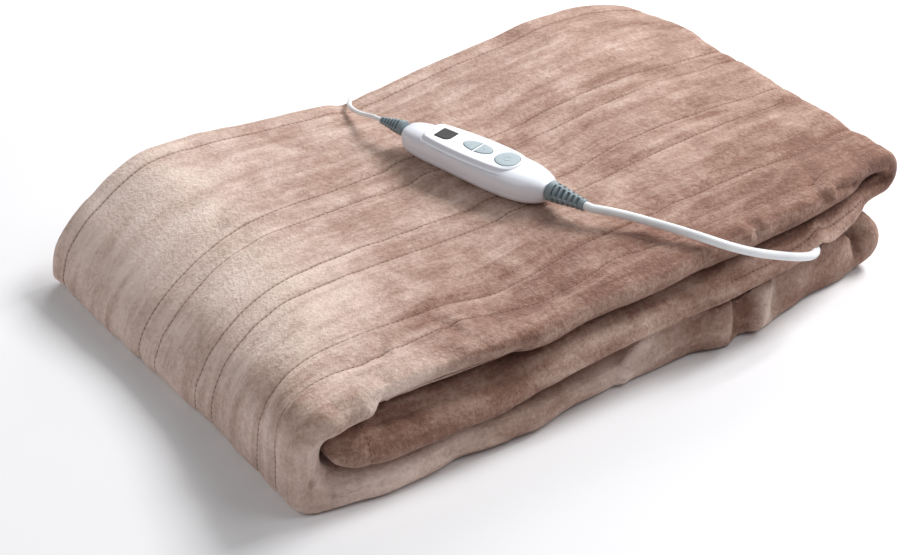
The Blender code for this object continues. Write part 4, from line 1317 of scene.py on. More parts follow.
    def lead_trench(self, x: np.ndarray, y: np.ndarray) -> np.ndarray:
        """Tell how near the mains lead's way between the layers is, as a Gaussian.

        Args:
            x: Distance along the blanket.
            y: Distance across it.

        Returns:
            1 over the lead's middle, falling to 0.
        """
        half = self.width / 2
        lean = self.trench_lean * smoothstep(half - 30 * MM, half - 3 * MM, -y)
        return np.exp(-((x - self.trench_x + lean) / self.trench_half) ** 2)

    def between_layers(self, x: float, y: float) -> float:
        """Give the middle height of the trench between the second and third layers.

        Args:
            x: Distance along the blanket.
            y: Distance across it.

        Returns:
            Height of the mains lead's middle there.
        """
        levels = self.levels(np.array(x))
        low = levels["third"][0] + levels["third"][1] / 2
        high = levels["second"][0] - levels["second"][1] / 2
        middle = (low + high + self.trench_up - self.trench_down) / 2
        return float(middle * (1.0 + self.stack_swell(np.array(x), np.array(y))))

    def section_points(self, run: str, share: np.ndarray, col: Columns) -> np.ndarray:
        """Place a run's sections.

        Args:
            run: Name of the run.
            share: Place of each section along it.
            col: The grid's columns.

        Returns:
            Array of shape (sections, columns, 3).
        """
        share = share[:, None]
        weights = self.blend(run, share)
        half = self.width / 2
        is_lip = col.edge == Edge.LIP.value
        outer, inner = self.faces(run, share, np.where(is_lip, 0.0, col.y)[None, :] + 0 * share)
        guess = (outer[0] + inner[0]) / 2
        inset = sum(weight * read_rows(FRONTS, name, guess / MM) for name, weight in weights.items()) * MM
        lip_y = -half + inset
        slant = weights["second"] * smooth_between(*zip(*LIP_SLANT), guess / MM)
        apron = weights["bottom"] * smooth_between(*zip(*APRON_RISE), guess / MM)
        plain = 1.0 - slant - apron
        lip_zone = (half - 60 * MM, half - 15 * MM)
        round_in, round_at, slant_in, slant_at, apron_in, apron_at = (
            smooth_between(range(len(LIPS)), column, col.lip)[None, :] for column in zip(*LIPS))
        lip_in = (plain * round_in + slant * slant_in + apron * apron_in) * MM
        lip_at = plain * round_at + slant * slant_at + apron * apron_at
        wander = sum(col.sway[None, :, i] * smooth_between(WANDER_X, row, guess / MM)
                     for i, row in enumerate(WANDER)) * MM
        spread = smoothstep(0.0, half, np.abs(col.y))[None, :]
        back_in = smooth_between(*zip(*BACK_INSET), guess / MM) * MM
        near_lip = smoothstep(*lip_zone, np.abs(col.y))[None, :]
        squeeze = 0.75 * spread + 0.25 * near_lip
        shift = np.where(col.y[None, :] > 0, -back_in * spread, (lip_y + half) * squeeze)
        cloth_y = col.y[None, :] + wander * (1.0 - weights["third"]) + shift
        y = np.where(is_lip[None, :], lip_y + lip_in, cloth_y)
        at = np.where(is_lip[None, :], lip_at, col.at[None, :])
        outer, inner = self.faces(run, share, y)
        thick = np.hypot(outer[0] - inner[0], outer[1] - inner[1])
        groove = self.groove_deep * np.exp(-col.line / self.groove_half)
        draw = groove + self.draw_deep * np.exp(-(col.line / self.draw_half) ** 2)
        raised = self.puff_rise * col.puff[None, :] * (1 - weights["bottom"])
        draw = raised - draw[None, :] * (col.edge == Edge.OUTER.value)
        depth = 0.5 - at - draw / thick
        x = outer[0] + (inner[0] - outer[0]) * depth
        z = outer[1] + (inner[1] - outer[1]) * depth
        if run == "second":
            from_end = 1.0 - smoothstep(0.0, self.corner_reach, x - self.second_end_front_x)
            z = z + self.trench_up * self.lead_trench(x, y) * smoothstep(-0.5, -0.3, at)
            y = y + self.corner_in * from_end ** 2 * smoothstep(*lip_zone, -y)
        return self.settled(run, x, y, z, at, draw)

    def settled(self, run: str, x: np.ndarray, y: np.ndarray, z: np.ndarray, at: np.ndarray,
                draw: np.ndarray) -> np.ndarray:
        """Fit a run's points to the table, the mains lead, the swells and the handset's seat.

        Args:
            run: Name of the run.
            x: Distance along the blanket.
            y: Distance across it.
            z: Height before the stack is shaped.
            at: Place in the thickness.
            draw: How far the filling raises or the sewing draws in each point.

        Returns:
            Array of shape (sections, columns, 3).
        """
        if run == "bottom":
            z = np.maximum(z, 0.0)
        if run in ("third", "bottom"):
            z = z - self.trench_down * self.lead_trench(x, y) * (at > 0 if run == "third" else at < -0.6)
        z = z * (1.0 + self.stack_swell(x, y))
        if run == "top":
            seat = self.handset_seat(x, y) * (at > 0)
            z = z + seat * (Handset.seat_z - self.slip + draw * 0.3 - z)
        return stacked(x, y, z)

    def run_shares(self) -> dict:
        """Spread each run's sections, closer at the free ends of the second and third.

        Returns:
            Name of the run to the place of each of its sections, from 0 to 1.
        """
        shares = {}
        for run, sections in RUNS.items():
            even = np.linspace(0.0, 1.0, sections)
            eased = even + 0.5 * (even ** 2 - even) * (1 - even)
            shares[run] = np.linspace(0.0, 1.0, sections + 2)[1:-1]
            if run in ("second", "third"):
                shares[run] = eased if run == "second" else 1.0 - eased[::-1]
        return shares

    # ---- the worked-out grid
    def build(self, leads: np.ndarray) -> tuple:
        """Make the cloth and its thread.

        Args:
            leads: Points along the leads, which the cloth's crumple keeps clear of.

        Returns:
            The cloth's object and the thread's object.
        """
        col = self.columns()
        parts = {run: self.section_points(run, share, col) for run, share in self.run_shares().items()}
        runs = np.repeat(list(parts), [len(part) for part in parts.values()])
        sheet = Sheet(np.concatenate(list(parts.values())), runs, col)
        end_seam, front_seam = self.end_seam(sheet), self.front_seam(sheet)
        lift = self.crumple(sheet, leads)
        lift -= 1.3 * MM * np.exp(-end_seam / (2.4 * MM)) + 1.0 * MM * np.exp(-front_seam / (2.0 * MM))
        sheet.points = sheet.points + sheet.normal * lift[..., None]
        sheet.points[..., 2] = np.maximum(sheet.points[..., 2], 0.0)
        line = np.where(sheet.on("third"), 1.0, col.line[None, :])
        line = np.minimum(np.minimum(line, end_seam), front_seam)
        return self.cloth_object(sheet, line), self.thread_object(sheet, end_seam)

    def end_seam(self, sheet: Sheet) -> np.ndarray:
        """Measure each point's distance from the seam across the second layer's free end."""
        away = np.abs(sheet.points[..., 0] - sheet.points[0, :, 0] - self.end_seam_in)
        return np.where(sheet.on("second"), away, 1.0)

    def front_seam(self, sheet: Sheet) -> np.ndarray:
        """Measure each point's distance from the line sewn along the second layer's lip.

        Args:
            sheet: The cloth's grid.

        Returns:
            Distance for each point; it grows where the line fades, and is large elsewhere.
        """
        col, x = sheet.col, sheet.points[..., 0]
        away = np.where(sheet.round(Edge.LIP), np.abs(col.lip - self.front_seam_lip) * self.lip_step, 1.0)
        fade = 1 - smoothstep(45 * MM, 85 * MM, x) + smoothstep(205 * MM, 222 * MM, x)
        return np.where(sheet.on("second"), away[None, :] + fade * 9 * MM, 1.0)

    def crumple(self, sheet: Sheet, leads: np.ndarray) -> np.ndarray:
        """Sum the cloth's small waves.

        They are ripples drawn out along the channels, crushed hollows, puckers beside the
        sewn lines and the listed creases. They fade under the handset, beside the
        leads and inside the folds.

        Args:
            sheet: The cloth's grid.
            leads: Points along the leads.

        Returns:
            How far each point moves out along its normal, in metres.
        """
        grid, outer = sheet.points, sheet.round(Edge.OUTER)[None, :]
        flat = stacked(sheet.path[:, None], sheet.across[None, :], 0.0)
        ripples = soft_noise(flat, (75 * MM, 13 * MM, 1.0), 1)
        ripples += 0.5 * soft_noise(flat, (38 * MM, 7 * MM, 1.0), 2)
        hollows = soft_noise(grid, 27 * MM, 3)
        dents = soft_noise(grid, 11 * MM, 4)
        puckers = soft_noise(flat, (10 * MM, 9 * MM, 1.0), 5) * np.exp(-sheet.col.line / (5 * MM))
        lift = np.where(outer, 0.62, 0.2) * ripples + np.where(outer, 0.6, 0.9) * hollows
        lift = (lift + 0.3 * dents + 0.5 * puckers * outer) * MM + self.creases(sheet)
        calm = np.where(sheet.round(Edge.INNER), 0.2, 1.0)[None, :]
        calm = calm * (1 - 0.97 * self.handset_seat(grid[..., 0], grid[..., 1]) * sheet.on("top") * outer)
        calm = calm * (1 - 0.7 * sheet.on("bottom") * outer)
        near = self.nearness(grid, leads)
        return (lift * calm + self.folds(grid)) * (1 - near) - near * 0.15 * MM

    def folds(self, grid: np.ndarray) -> np.ndarray:
        """Sum the listed folds: each a Gaussian of the distance from its line.

        Args:
            grid: The cloth's points.

        Returns:
            How far each point moves out, in metres.
        """
        lift = np.zeros(grid.shape[:2])
        for fold in FOLDS:
            start = np.array(fold[:3]) * MM
            way = np.array(fold[3:6]) * MM - start
            share = np.clip((grid - start) @ way / (way @ way), 0.0, 1.0)
            away = np.linalg.norm(grid - start - share[..., None] * way, axis=-1)
            lift += fold.rise * MM * np.exp(-(away / (fold.half_width * MM)) ** 2)
        return lift

    def creases(self, sheet: Sheet) -> np.ndarray:
        """Sum the listed creases: a Gaussian trough between two lower Gaussian rims.

        Args:
            sheet: The cloth's grid.

        Returns:
            How far each point moves out, in metres.
        """
        grid, rim, rim_at = sheet.points, 0.45, 1.7
        lift = np.zeros(grid.shape[:2])
        for crease in CREASES:
            turn = math.radians(crease.turn)
            dx, dy = grid[..., 0] / MM - crease.x, grid[..., 1] / MM - crease.y
            along = (dx * math.cos(turn) + dy * math.sin(turn)) / crease.half_length
            side = (-dx * math.sin(turn) + dy * math.cos(turn)) / crease.half_width
            rims = np.exp(-(side - rim_at) ** 2) + np.exp(-(side + rim_at) ** 2)
            lift -= crease.deep * MM * (np.exp(-side ** 2) - rim * rims) * np.exp(-along ** 4)
        return lift * np.clip(sheet.normal[..., 2], 0.0, 1.0) * sheet.on("top", "wrap")

    def nearness(self, grid: np.ndarray, leads: np.ndarray) -> np.ndarray:
        """Tell how near a lead each point is.

        Args:
            grid: The cloth's points.
            leads: Points along the leads.

        Returns:
            1 within 5 mm of a lead's middle, falling to 0 at 14 mm.
        """
        flat = grid.reshape(-1, 3)
        nearest = np.full(len(flat), 1.0)
        for part in np.array_split(leads, max(len(leads) // 12, 1)):
            away = np.linalg.norm(flat[:, None, :] - part[None, :, :], axis=-1).min(axis=1)
            nearest = np.minimum(nearest, away)
        return (1 - smoothstep(5 * MM, 14 * MM, nearest)).reshape(grid.shape[:2])

    def painted_light_and_shade(self, sheet: Sheet) -> np.ndarray:
        """Tell how much painted light and shade the pile's tone takes: lightest on the left crest and at the
        back.

        It falls evenly to the right and to the front, with a Gaussian painted highlight along the crest and
        painted shade towards the front of the top layer. The second layer's front gets painted shade, for the
        hollow under the top layer's lip, and the folds that hang below get painted light and shade on their
        lit and shaded sides.

        Args:
            sheet: The cloth's grid.

        Returns:
            The painted light and shade, as a shift of the pile's tone for each point.
        """
        x, y, z = np.moveaxis(sheet.points, -1, 0)
        # painted light: the tone lightens towards the left and the back
        lean = -0.03 - 0.055 * x / (250 * MM) + 0.030 * y / (165 * MM)
        # painted highlight along the left crest
        crest_highlight = 0.17 * np.exp(-((x + 195 * MM) / (52 * MM)) ** 2)
        # painted shade towards the front of the upper layers
        front = smoothstep(60 * MM, 115 * MM, -y) * smoothstep(45 * MM, 60 * MM, z)
        lean = lean + crest_highlight * ~sheet.on("second") - 0.08 * front
        # painted light and shade on the lit and shaded sides of the drapes below the second layer's lip
        low = smoothstep(138 * MM, 148 * MM, -y) * (1 - smoothstep(28 * MM, 38 * MM, z))
        drape_light_and_shade = 0.02 + sum(rise * np.exp(-((x / MM - at) / reach) ** 2) for at, reach, rise in PAINTED_DRAPE_LIGHT_AND_SHADE)
        lean = lean + low * smoothstep(-60 * MM, -40 * MM, x) * drape_light_and_shade
        # painted shade on the second layer's front, in the hollow under the top layer's lip
        return lean - 0.10 * sheet.on("second") * (1 - smoothstep(-90 * MM, -50 * MM, x))

    def cloth_object(self, sheet: Sheet, line: np.ndarray) -> Object:
        """Put the grid into a mesh with its cloth map, its seam attribute of painted shade and its attribute
        of the pile's painted light and shade.

        Args:
            sheet: The cloth's grid.
            line: Distance from the nearest sewn line.

        Returns:
            The cloth's object.
        """
        sections, around = sheet.points.shape[:2]
        mesh = bpy.data.meshes.new("plush_blanket")
        mesh.from_pydata(sheet.points.reshape(-1, 3).tolist(), [], tube_faces(sections, around))
        mesh.polygons.foreach_set("use_smooth", np.ones(len(mesh.polygons), bool))
        # seam holds the painted shade of the sewn grooves; the other holds the pile's painted light and
        # shade.
        tones = {"seam": 0.6 * np.exp(-(line / (0.7 * MM)) ** 2), "pile_tone_and_painted_light": self.painted_light_and_shade(sheet)}
        for name, tone in tones.items():
            mesh.attributes.new(name, "FLOAT", "POINT").data.foreach_set("value", tone.ravel())
        corners = np.empty(len(mesh.loops), int)
        mesh.loops.foreach_get("vertex_index", corners)
        places = stacked(sheet.path[corners // around], sheet.across[corners % around])
        mesh.uv_layers.new(name="cloth").data.foreach_set("uv", places.ravel())
        mesh.materials.append(PlushFleece().material())
        return added("plush_blanket", mesh)

    # ---- sewing
    def thread_object(self, sheet: Sheet, end_seam: np.ndarray) -> Object:
        """Sew a stitch every few mm along each line that can be seen.

        Args:
            sheet: The cloth's grid.
            end_seam: Distance from the seam across the second layer's end.

        Returns:
            One object with every stitch.
        """
        grid, normal, col = sheet.points, sheet.normal, sheet.col
        seen = sheet.on("upper_fold", "top", "wrap")[:, 0]
        lines = [(grid[seen, c], normal[seen, c]) for c in np.nonzero(col.line == 0.0)[0]]
        is_lip = sheet.round(Edge.LIP)
        lip_column = int(np.argmin(np.where(is_lip, np.abs(col.lip - self.front_seam_lip), 99)))
        x = grid[:, lip_column, 0]
        front = sheet.on("second")[:, 0] & (x > 72 * MM) & (x < 210 * MM)
        lines.append((grid[front, lip_column], normal[front, lip_column]))
        second = np.nonzero(sheet.runs == "second")[0]
        nearest = second[np.argmin(end_seam[second], axis=0)]
        tip = np.nonzero(is_lip & (col.lip > 0.6) & (col.lip < 6.4))[0]
        lines.append((grid[nearest[tip], tip], normal[nearest[tip], tip]))
        places = zip(*[self.stitch_places(line, up) for line, up in lines])
        return self.stitches(*[np.concatenate(part) for part in places])

    def stitch_places(self, line: np.ndarray, up: np.ndarray, pitch: float = 3.7 * MM) -> tuple:
        """Space stitches along a line.

        Args:
            line: The line's points.
            up: Outward normals there.
            pitch: From one stitch to the next.

        Returns:
            Middles, directions and outward normals of the stitches.
        """
        run = lengths_along(line)
        at = np.arange(pitch / 2, run[-1], pitch)
        middle, outward = read_line(at, run, line), read_line(at, run, up)
        way = read_line(at + pitch / 4, run, line) - middle
        way /= np.maximum(np.linalg.norm(way, axis=-1, keepdims=True), 1e-9)
        return middle + outward * 0.12 * MM, way, outward

    def stitches(self, middle: np.ndarray, way: np.ndarray, up: np.ndarray) -> Object:
        """Make every stitch a small bent spindle: six rings of five points, its ends dipping.

        Args:
            middle: Middle of each stitch.
            way: Direction of each stitch.
            up: Outward normal at each stitch.

        Returns:
            The thread's object.
        """
        half, thick, dip = 1.25 * MM, 0.34 * MM, 0.5 * MM
        side = np.cross(way, up)
        up = np.cross(side, way)
        rings, around = 6, 5
        along, turn = np.linspace(-1, 1, rings)[:, None], full_turn(around)
        girth = thick * np.sqrt(np.clip(1 - (along * 0.93) ** 2, 0, 1))
        offsets = (half * along + 0 * turn, girth * np.cos(turn) - dip * along ** 2, girth * np.sin(turn))
        points = middle[:, None, None, :] + sum(offset[None, ..., None] * axis[:, None, None, :]
                                                for offset, axis in zip(offsets, (way, up, side)))
        one, size = tube_faces(rings, around), rings * around
        faces = [[p + size * n for p in face] for n in range(len(middle)) for face in one]
        return mesh_object("sewing_thread", points, faces, SewingThread().material())


# ---------------------------------------------------------------- the handset
class Body(NamedTuple):
    """A section of the handset's housing: place along it and its half width and heights, in mm."""

    u: float
    half_width: float
    low: float
    high: float


BODY = tuple(Body(*row) for row in (
    (-62.0, 1.5, 10.5, 13.0), (-61.0, 5.4, 6.8, 15.8), (-58.0, 8.8, 3.8, 18.0),
    (-52.5, 11.2, 1.7, 19.4), (-45.0, 12.6, 0.6, 20.4), (-34.0, 13.4, 0.0, 21.0),
    (-16.0, 14.8, 0.0, 21.4), (4.0, 16.6, 0.0, 21.6), (20.0, 17.5, 0.0, 21.6),
    (32.0, 17.3, 0.1, 21.6), (42.0, 16.2, 0.4, 21.4), (50.0, 14.0, 1.2, 20.8),
    (56.0, 11.4, 2.6, 19.8), (59.8, 9.2, 4.4, 18.8), (61.0, 7.8, 5.4, 18.0),
))
# The plate's shoulder, and the rim of each well: growth and height against its top, in mm.
SHOULDER = ((-2.2, -0.02), (-1.6, -0.03), (-1.1, -0.08), (-0.7, -0.19), (-0.35, -0.37), (-0.1, -0.62),
            (0.06, -0.95), (0.2, -1.4), (0.42, -1.85), (0.8, -2.25), (1.5, -2.65), (2.6, -3.3))
WELL_RIM = ((0.42, -0.02), (0.30, -0.02), (0.15, -0.05), (0.05, -0.12), (0.0, -0.26), (0.0, -3.3))
CROWN_SHARES = (0.72, 0.45, 0.2, 0.02)


class Half(Enum):
    """The two mouldings of the housing."""

    LOWER = -1
    UPPER = 1


@dataclass
class Handset:
    """The rounded white handset: two half shells, control plate, window, keys and sleeves."""

    x: float = -5.0 * MM
    y: float = 8.0 * MM
    turn: float = math.radians(-74.5)
    seat_z: float = 77.0 * MM
    lower_start_u: float = -61.35 * MM
    seam_z: float = 8.5 * MM
    seam_gap: float = 0.14 * MM
    square: float = 3.0
    plate_back_u: float = -41.0 * MM
    plate_front_u: float = 36.8 * MM
    plate_back_half: float = 10.6 * MM
    plate_mid_half: float = 13.6 * MM
    plate_front_half: float = 12.6 * MM
    plate_top_z: float = 22.4 * MM
    well_floor_z: float = 19.1 * MM
    display_u: float = -26.5 * MM
    display_side: float = 12.0 * MM
    keys_u: float = 1.0 * MM
    keys_half_length: float = 11.6 * MM
    keys_half_width: float = 5.8 * MM
    keys_split: float = 1.6 * MM
    sign_u: float = 5.6 * MM             # from the middle of the pair to each key's sign
    sign_half: float = 1.5 * MM
    sign_proud: float = 0.10 * MM
    power_u: float = 26.0 * MM
    power_radius: float = 8.6 * MM
    key_thick: float = 2.6 * MM
    key_proud: float = 0.4 * MM
    key_clear: float = 0.35 * MM
    exit_front_z: float = 12.2 * MM
    exit_back_z: float = 13.4 * MM
    front_sleeve: tuple = (29.0 * MM, 6.9 * MM, 4.2 * MM)
    back_sleeve: tuple = (21.0 * MM, 5.4 * MM, 2.7 * MM)

    def place(self) -> Matrix:
        """Stand the handset's own frame on the pile."""
        return Matrix.Translation((self.x, self.y, self.seat_z)) @ Matrix.Rotation(self.turn, 4, "Z")

    def along_exit(self, end: int, distance: float) -> Vector:
        """Find the place on a lead's axis at a distance from the sleeve's tip.

        Args:
            end: 1 for the mains lead's end, -1 for the thin lead's.
            distance: How far out beyond the tip.

        Returns:
            The place in the frame.
        """
        length = (self.front_sleeve if end > 0 else self.back_sleeve)[0]
        return self.exit_place(end) @ Vector((length + distance, 0, 0))

    def exit_place(self, end: int) -> Matrix:
        """Stand a frame at a housing end, X pointing out along the lead.

        Args:
            end: 1 for the mains lead's end, -1 for the thin lead's.

        Returns:
            The frame's matrix.
        """
        turn = Matrix.Rotation(0.0 if end > 0 else math.pi, 4, "Z")
        tilt = Matrix.Rotation(math.radians(1 if end > 0 else 2), 4, "Y")
        edge = (BODY[-1].u if end > 0 else BODY[0].u) * MM
        height = self.exit_front_z if end > 0 else self.exit_back_z
        shift = Matrix.Translation((edge + end * 0.3 * MM, 0, height))
        return self.place() @ shift @ turn @ tilt

    def section(self, u: np.ndarray) -> tuple:
        """Read the housing's half width, low and high at u, in metres."""
        return tuple(read_rows(BODY, name, u / MM) * MM for name in Body._fields[1:])

    def shell(self, half: Half, name: str, material: Material) -> Object:
        """Loft one half: superellipse arcs above or below the seam, closed flat across it.

        Args:
            half: Which moulding.
            name: The piece's name.
            material: Its finish.

        Returns:
            The half shell.
        """
        first, last = (BODY[0].u if half is Half.UPPER else self.lower_start_u / MM), BODY[-1].u
        share = np.linspace(0, 1, 120)
        eased = share + 0.35 * np.sin(2 * math.pi * (share - 0.5)) / (2 * math.pi)
        u = (first + (last - first) * eased) * MM
        half_width, low, high = self.section(u)
        seam = self.seam_z if half is Half.UPPER else self.seam_z - self.seam_gap
        middle, tall = (low + high) / 2, (high - low) / 2
        lean = np.clip((seam - middle) / tall, -0.995, 0.995)
        start = np.arcsin(signed_power(lean, self.square / 2))
        arc_share = np.linspace(0, 1, 56)[None, :]
        if half is Half.UPPER:
            angle = start[:, None] + (math.pi - 2 * start[:, None]) * arc_share
        else:
            angle = -math.pi - start[:, None] + (math.pi + 2 * start[:, None]) * arc_share
        y = half_width[:, None] * signed_power(np.cos(angle), 2 / self.square)
        z = middle[:, None] + tall[:, None] * signed_power(np.sin(angle), 2 / self.square)
        tuck = 0.16 * MM * np.exp(-((z - seam) / (0.35 * MM)) ** 2)
        y = y - np.sign(y) * np.minimum(tuck, np.abs(y))
        if half is Half.UPPER:
            inside = self.plate_share(u[:, None], y) < 0.93
            z = np.where(inside & (z > self.well_floor_z), self.well_floor_z, z)
        return self.moulding(name, stacked(u[:, None], y, z), material)

    def moulding(self, name: str, points: np.ndarray, material: Material) -> Object:
        """Skin rings of points in the handset's own frame, with crisp edges.

        Args:
            name: The piece's name.
            points: Array of shape (rings, around, 3).
            material: Its finish.

        Returns:
            The piece.
        """
        obj = mesh_object(name, placed(points, self.place()), tube_faces(*points.shape[:2]), material)
        sharp_edges(obj, 50)
        return obj

    def plate_share(self, u: np.ndarray, y: np.ndarray) -> np.ndarray:
        """Tell how far out in the plate's outline a place is: 1 on the outline itself."""
        middle = (self.plate_back_u + self.plate_front_u) / 2
        half_length = (self.plate_front_u - self.plate_back_u) / 2
        oval = np.abs((u - middle) / half_length) ** 5 + np.abs(y / self.plate_mid_half) ** 5
        return np.maximum(np.abs(u - middle) / (half_length - 0.3 * MM), oval ** 0.2)

    # ---- outlines in the handset's own frame
    def plate_outline(self, grow: float = 0.0) -> np.ndarray:
        """Outline the plate: swelling sides, a full round front and a squarer back.

        Args:
            grow: How far the outline stands outside the plate's own.

        Returns:
            Points in order round the plate.
        """
        share = np.linspace(0.0, 1.0, 24)
        swell = np.sin(math.pi * share) ** 0.7
        ends = self.plate_back_half + (self.plate_front_half - self.plate_back_half) * share
        mean_end = (self.plate_back_half + self.plate_front_half) / 2
        half = ends + (self.plate_mid_half - mean_end) * swell + grow
        back = self.plate_back_u + self.plate_back_half * 0.55
        front = self.plate_front_u - self.plate_front_half * 0.85
        x = back + (front - back) * share
        turn = np.linspace(-math.pi / 2, math.pi / 2, 19)[1:-1]
        nose = stacked(front + (self.plate_front_u - front + grow) * np.cos(turn),
                       half[-1] * np.sin(turn))
        tail = stacked(back - (back - self.plate_back_u + grow) * np.cos(turn) ** 0.8,
                       -half[0] * np.sin(turn))
        return np.concatenate([stacked(x, -half), nose,
                               stacked(x[::-1], half[::-1]), tail])

    def key_outline(self, side: int, grow: float = 0.0) -> np.ndarray:
        """Outline one half of the split oval: an ellipse cut straight beside the split."""
        long, short = self.keys_half_length + grow, self.keys_half_width + grow
        start = math.acos(min((self.keys_split / 2 - grow) / long, 1.0))
        turn = np.linspace(-start, start, 30)
        return stacked(self.keys_u + side * long * np.cos(turn), side * short * np.sin(turn))

    def round_outline(self, radius: float, count: int = 56) -> np.ndarray:
        """Outline a circle about the power key's middle."""
        turn = full_turn(count)
        return stacked(self.power_u + radius * np.cos(turn), radius * np.sin(turn))

    def window_outline(self, grow: float = 0.0) -> np.ndarray:
        """Outline the window: a square with one well rounded corner."""
        half = self.display_side / 2 + grow
        corners = []
        for quadrant, (sx, sy) in enumerate(((1, 1), (-1, 1), (-1, -1), (1, -1))):
            radius = (4.0 if quadrant == 3 else 0.8) * MM + grow
            turn = quadrant * math.pi / 2 + np.linspace(0, math.pi / 2, 9)
            corners.append(stacked(self.display_u + sx * (half - radius) + radius * np.cos(turn),
                                   sy * (half - radius) + radius * np.sin(turn)))
        return np.concatenate(corners)

    # ---- mouldings
    def cap(self, name: str, outline: np.ndarray, low: float, high: float, crown: float,
            material: Material, edge: float = 0.45 * MM) -> Object:
        """Raise an outline into a moulded cap: a wall, a quarter-round edge and a slight crown.

        Args:
            name: The piece's name.
            outline: Points round it in the handset's frame.
            low: Height of its foot.
            high: Height of its top edge.
            crown: How far its middle stands above that.
            material: Its finish.
            edge: Radius of the rounded edge.

        Returns:
            The cap.
        """
        centre = (outline.max(axis=0) + outline.min(axis=0)) / 2
        reach = np.linalg.norm(outline - centre, axis=-1).mean()
        bend = np.linspace(0, math.pi / 2, 5)[1:]
        shares = np.array([0.02, 0.6, 1.0, 1.0, *(1 - edge / reach * (1 - np.cos(bend))), *CROWN_SHARES])
        heights = [low, low, low, high - edge, *(high - edge + edge * np.sin(bend))]
        heights = np.array(heights + [high + crown * (1 - s * s) for s in CROWN_SHARES])
        flat = centre + (outline - centre)[None] * shares[:, None, None]
        return self.moulding(name, stacked(flat[..., 0], flat[..., 1], heights[:, None]), material)

    def plate(self, material: Material) -> Object:
        """Make the raised plate in one mesh: its flat face, its soft shoulder and its wells.

        The face is a flat curve with a hole for each part. The shoulder is an S-shaped
        profile carried round the plate's outline, and each well has a small rounded rim.

        Args:
            material: Its finish.

        Returns:
            The plate.
        """
        lip = 0.30 * MM
        wells = [lambda grow: self.window_outline(0.22 * MM + grow),
                 lambda grow: self.key_outline(-1, self.key_clear + grow),
                 lambda grow: self.key_outline(1, self.key_clear + grow),
                 lambda grow: self.round_outline(self.power_radius + self.key_clear + grow)]
        face = self.flat_face([self.plate_outline(-2.0 * MM)] + [well(lip) for well in wells])
        rims = [self.carried(well, WELL_RIM) for well in wells]
        points, faces = joined([face, self.carried(self.plate_outline, SHOULDER), *rims])
        return mesh_object("control_plate", placed(points, self.place()), faces, material)

    def flat_face(self, outlines: list) -> tuple:
        """Fill the first outline, leaving the others as holes.

        Args:
            outlines: The face's outline, then its holes'.

        Returns:
            Points at the plate's top and faces.
        """
        curve = bpy.data.curves.new("face", "CURVE")
        curve.dimensions = "2D"
        curve.fill_mode = "FRONT"
        for outline in outlines:
            spline = curve.splines.new("POLY")
            spline.points.add(len(outline) - 1)
            spline.points.foreach_set("co", stacked(*outline.T, 0.0, 1.0).ravel())
            spline.use_cyclic_u = True
        carrier = added("face", curve)
        flat = bpy.data.meshes.new_from_object(carrier.evaluated_get(bpy.context.evaluated_depsgraph_get()))
        bpy.data.objects.remove(carrier)
        points = np.empty(len(flat.vertices) * 3)
        flat.vertices.foreach_get("co", points)
        points = points.reshape(-1, 3)
        points[:, 2] = self.plate_top_z
        faces = [list(face.vertices) for face in flat.polygons]
        bpy.data.meshes.remove(flat)
        return points, faces

    def carried(self, outline: Callable, rows: tuple) -> tuple:
        """Carry a profile round an outline: each row is the outline grown and lowered.

        Args:
            outline: Gives the outline for a growth in metres.
            rows: Growth and height against the plate's top for each row, in mm.

        Returns:
            Points and faces.
        """
        rings = [stacked(*outline(out * MM).T, self.plate_top_z + up * MM) for out, up in rows]
        return np.concatenate(rings), grid_quads(len(rings), len(rings[0]))

    def key_rim(self, material: Material) -> Object:
        """Ring the power key with its thin raised lip: a half-round turned about the key."""
        radius, half = self.power_radius + 1.55 * MM, 0.34 * MM
        rings, around = 72, 10
        bend, turn = full_turn(around)[None, :], full_turn(rings)[:, None]
        reach = radius + half * np.cos(bend)
        u = self.power_u + reach * np.cos(turn)
        z = self.plate_top_z - 0.05 * MM + half * 0.7 * np.sin(bend)
        points = placed(stacked(u, reach * np.sin(turn), z), self.place())
        return mesh_object("power_key_rim", points, grid_quads(rings, around, closed=True), material)

    def sleeve(self, name: str, end: int, sizes: tuple, material: Material, slots: int = 6) -> Object:
        """Turn a tapered strain relief and sink two rows of staggered slots into each side.

        The radius tapers from root to tip; a slot takes a share of it where the place
        along the sleeve is inside a slot and the angle is inside its row.

        Args:
            name: The piece's name.
            end: 1 for the mains lead's end, -1 for the thin lead's.
            sizes: Length, root radius and tip radius.
            material: Its finish.
            slots: Slots in each row.

        Returns:
            The sleeve.
        """
        length, root, tip = sizes
        rings, around, collar, last_slot = 110, 72, 0.17, 0.97
        along, angle = np.linspace(0, 1, rings)[:, None], full_turn(around)[None, :]
        radius = root + (tip - root) * smoothstep(collar * 0.6, 1.0, along) ** 0.9
        radius = radius * (1 - 0.10 * smoothstep(0.965, 1.0, along))
        radius = radius * (1 - 0.05 * (1 - smoothstep(0.0, 0.02, along)))
        cell = (along - collar) / (last_slot - collar) * slots
        wall = np.zeros((rings, around))
        for row in range(4):
            stagger = 0.5 * (row % 2)
            phase = cell + stagger
            opening = 1 - smoothstep(0.20, 0.29, np.abs(phase - np.floor(phase) - 0.5))
            away = np.abs((angle - math.radians(45 + 90 * row) + math.pi) % (2 * math.pi) - math.pi)
            across = 1 - smoothstep(math.radians(33), math.radians(39), away)
            ends = (cell > 0.02) & (phase < slots + 0.02) & (phase > stagger)
            wall = np.maximum(wall, opening * across * ends)
        radius = radius * (1 - 0.46 * wall)
        body = stacked(length * along, radius * np.cos(angle), radius * np.sin(angle))
        obj = mesh_object(name, placed(body, self.exit_place(end)), tube_faces(rings, around), material)
        sharp_edges(obj, 65)
        return obj

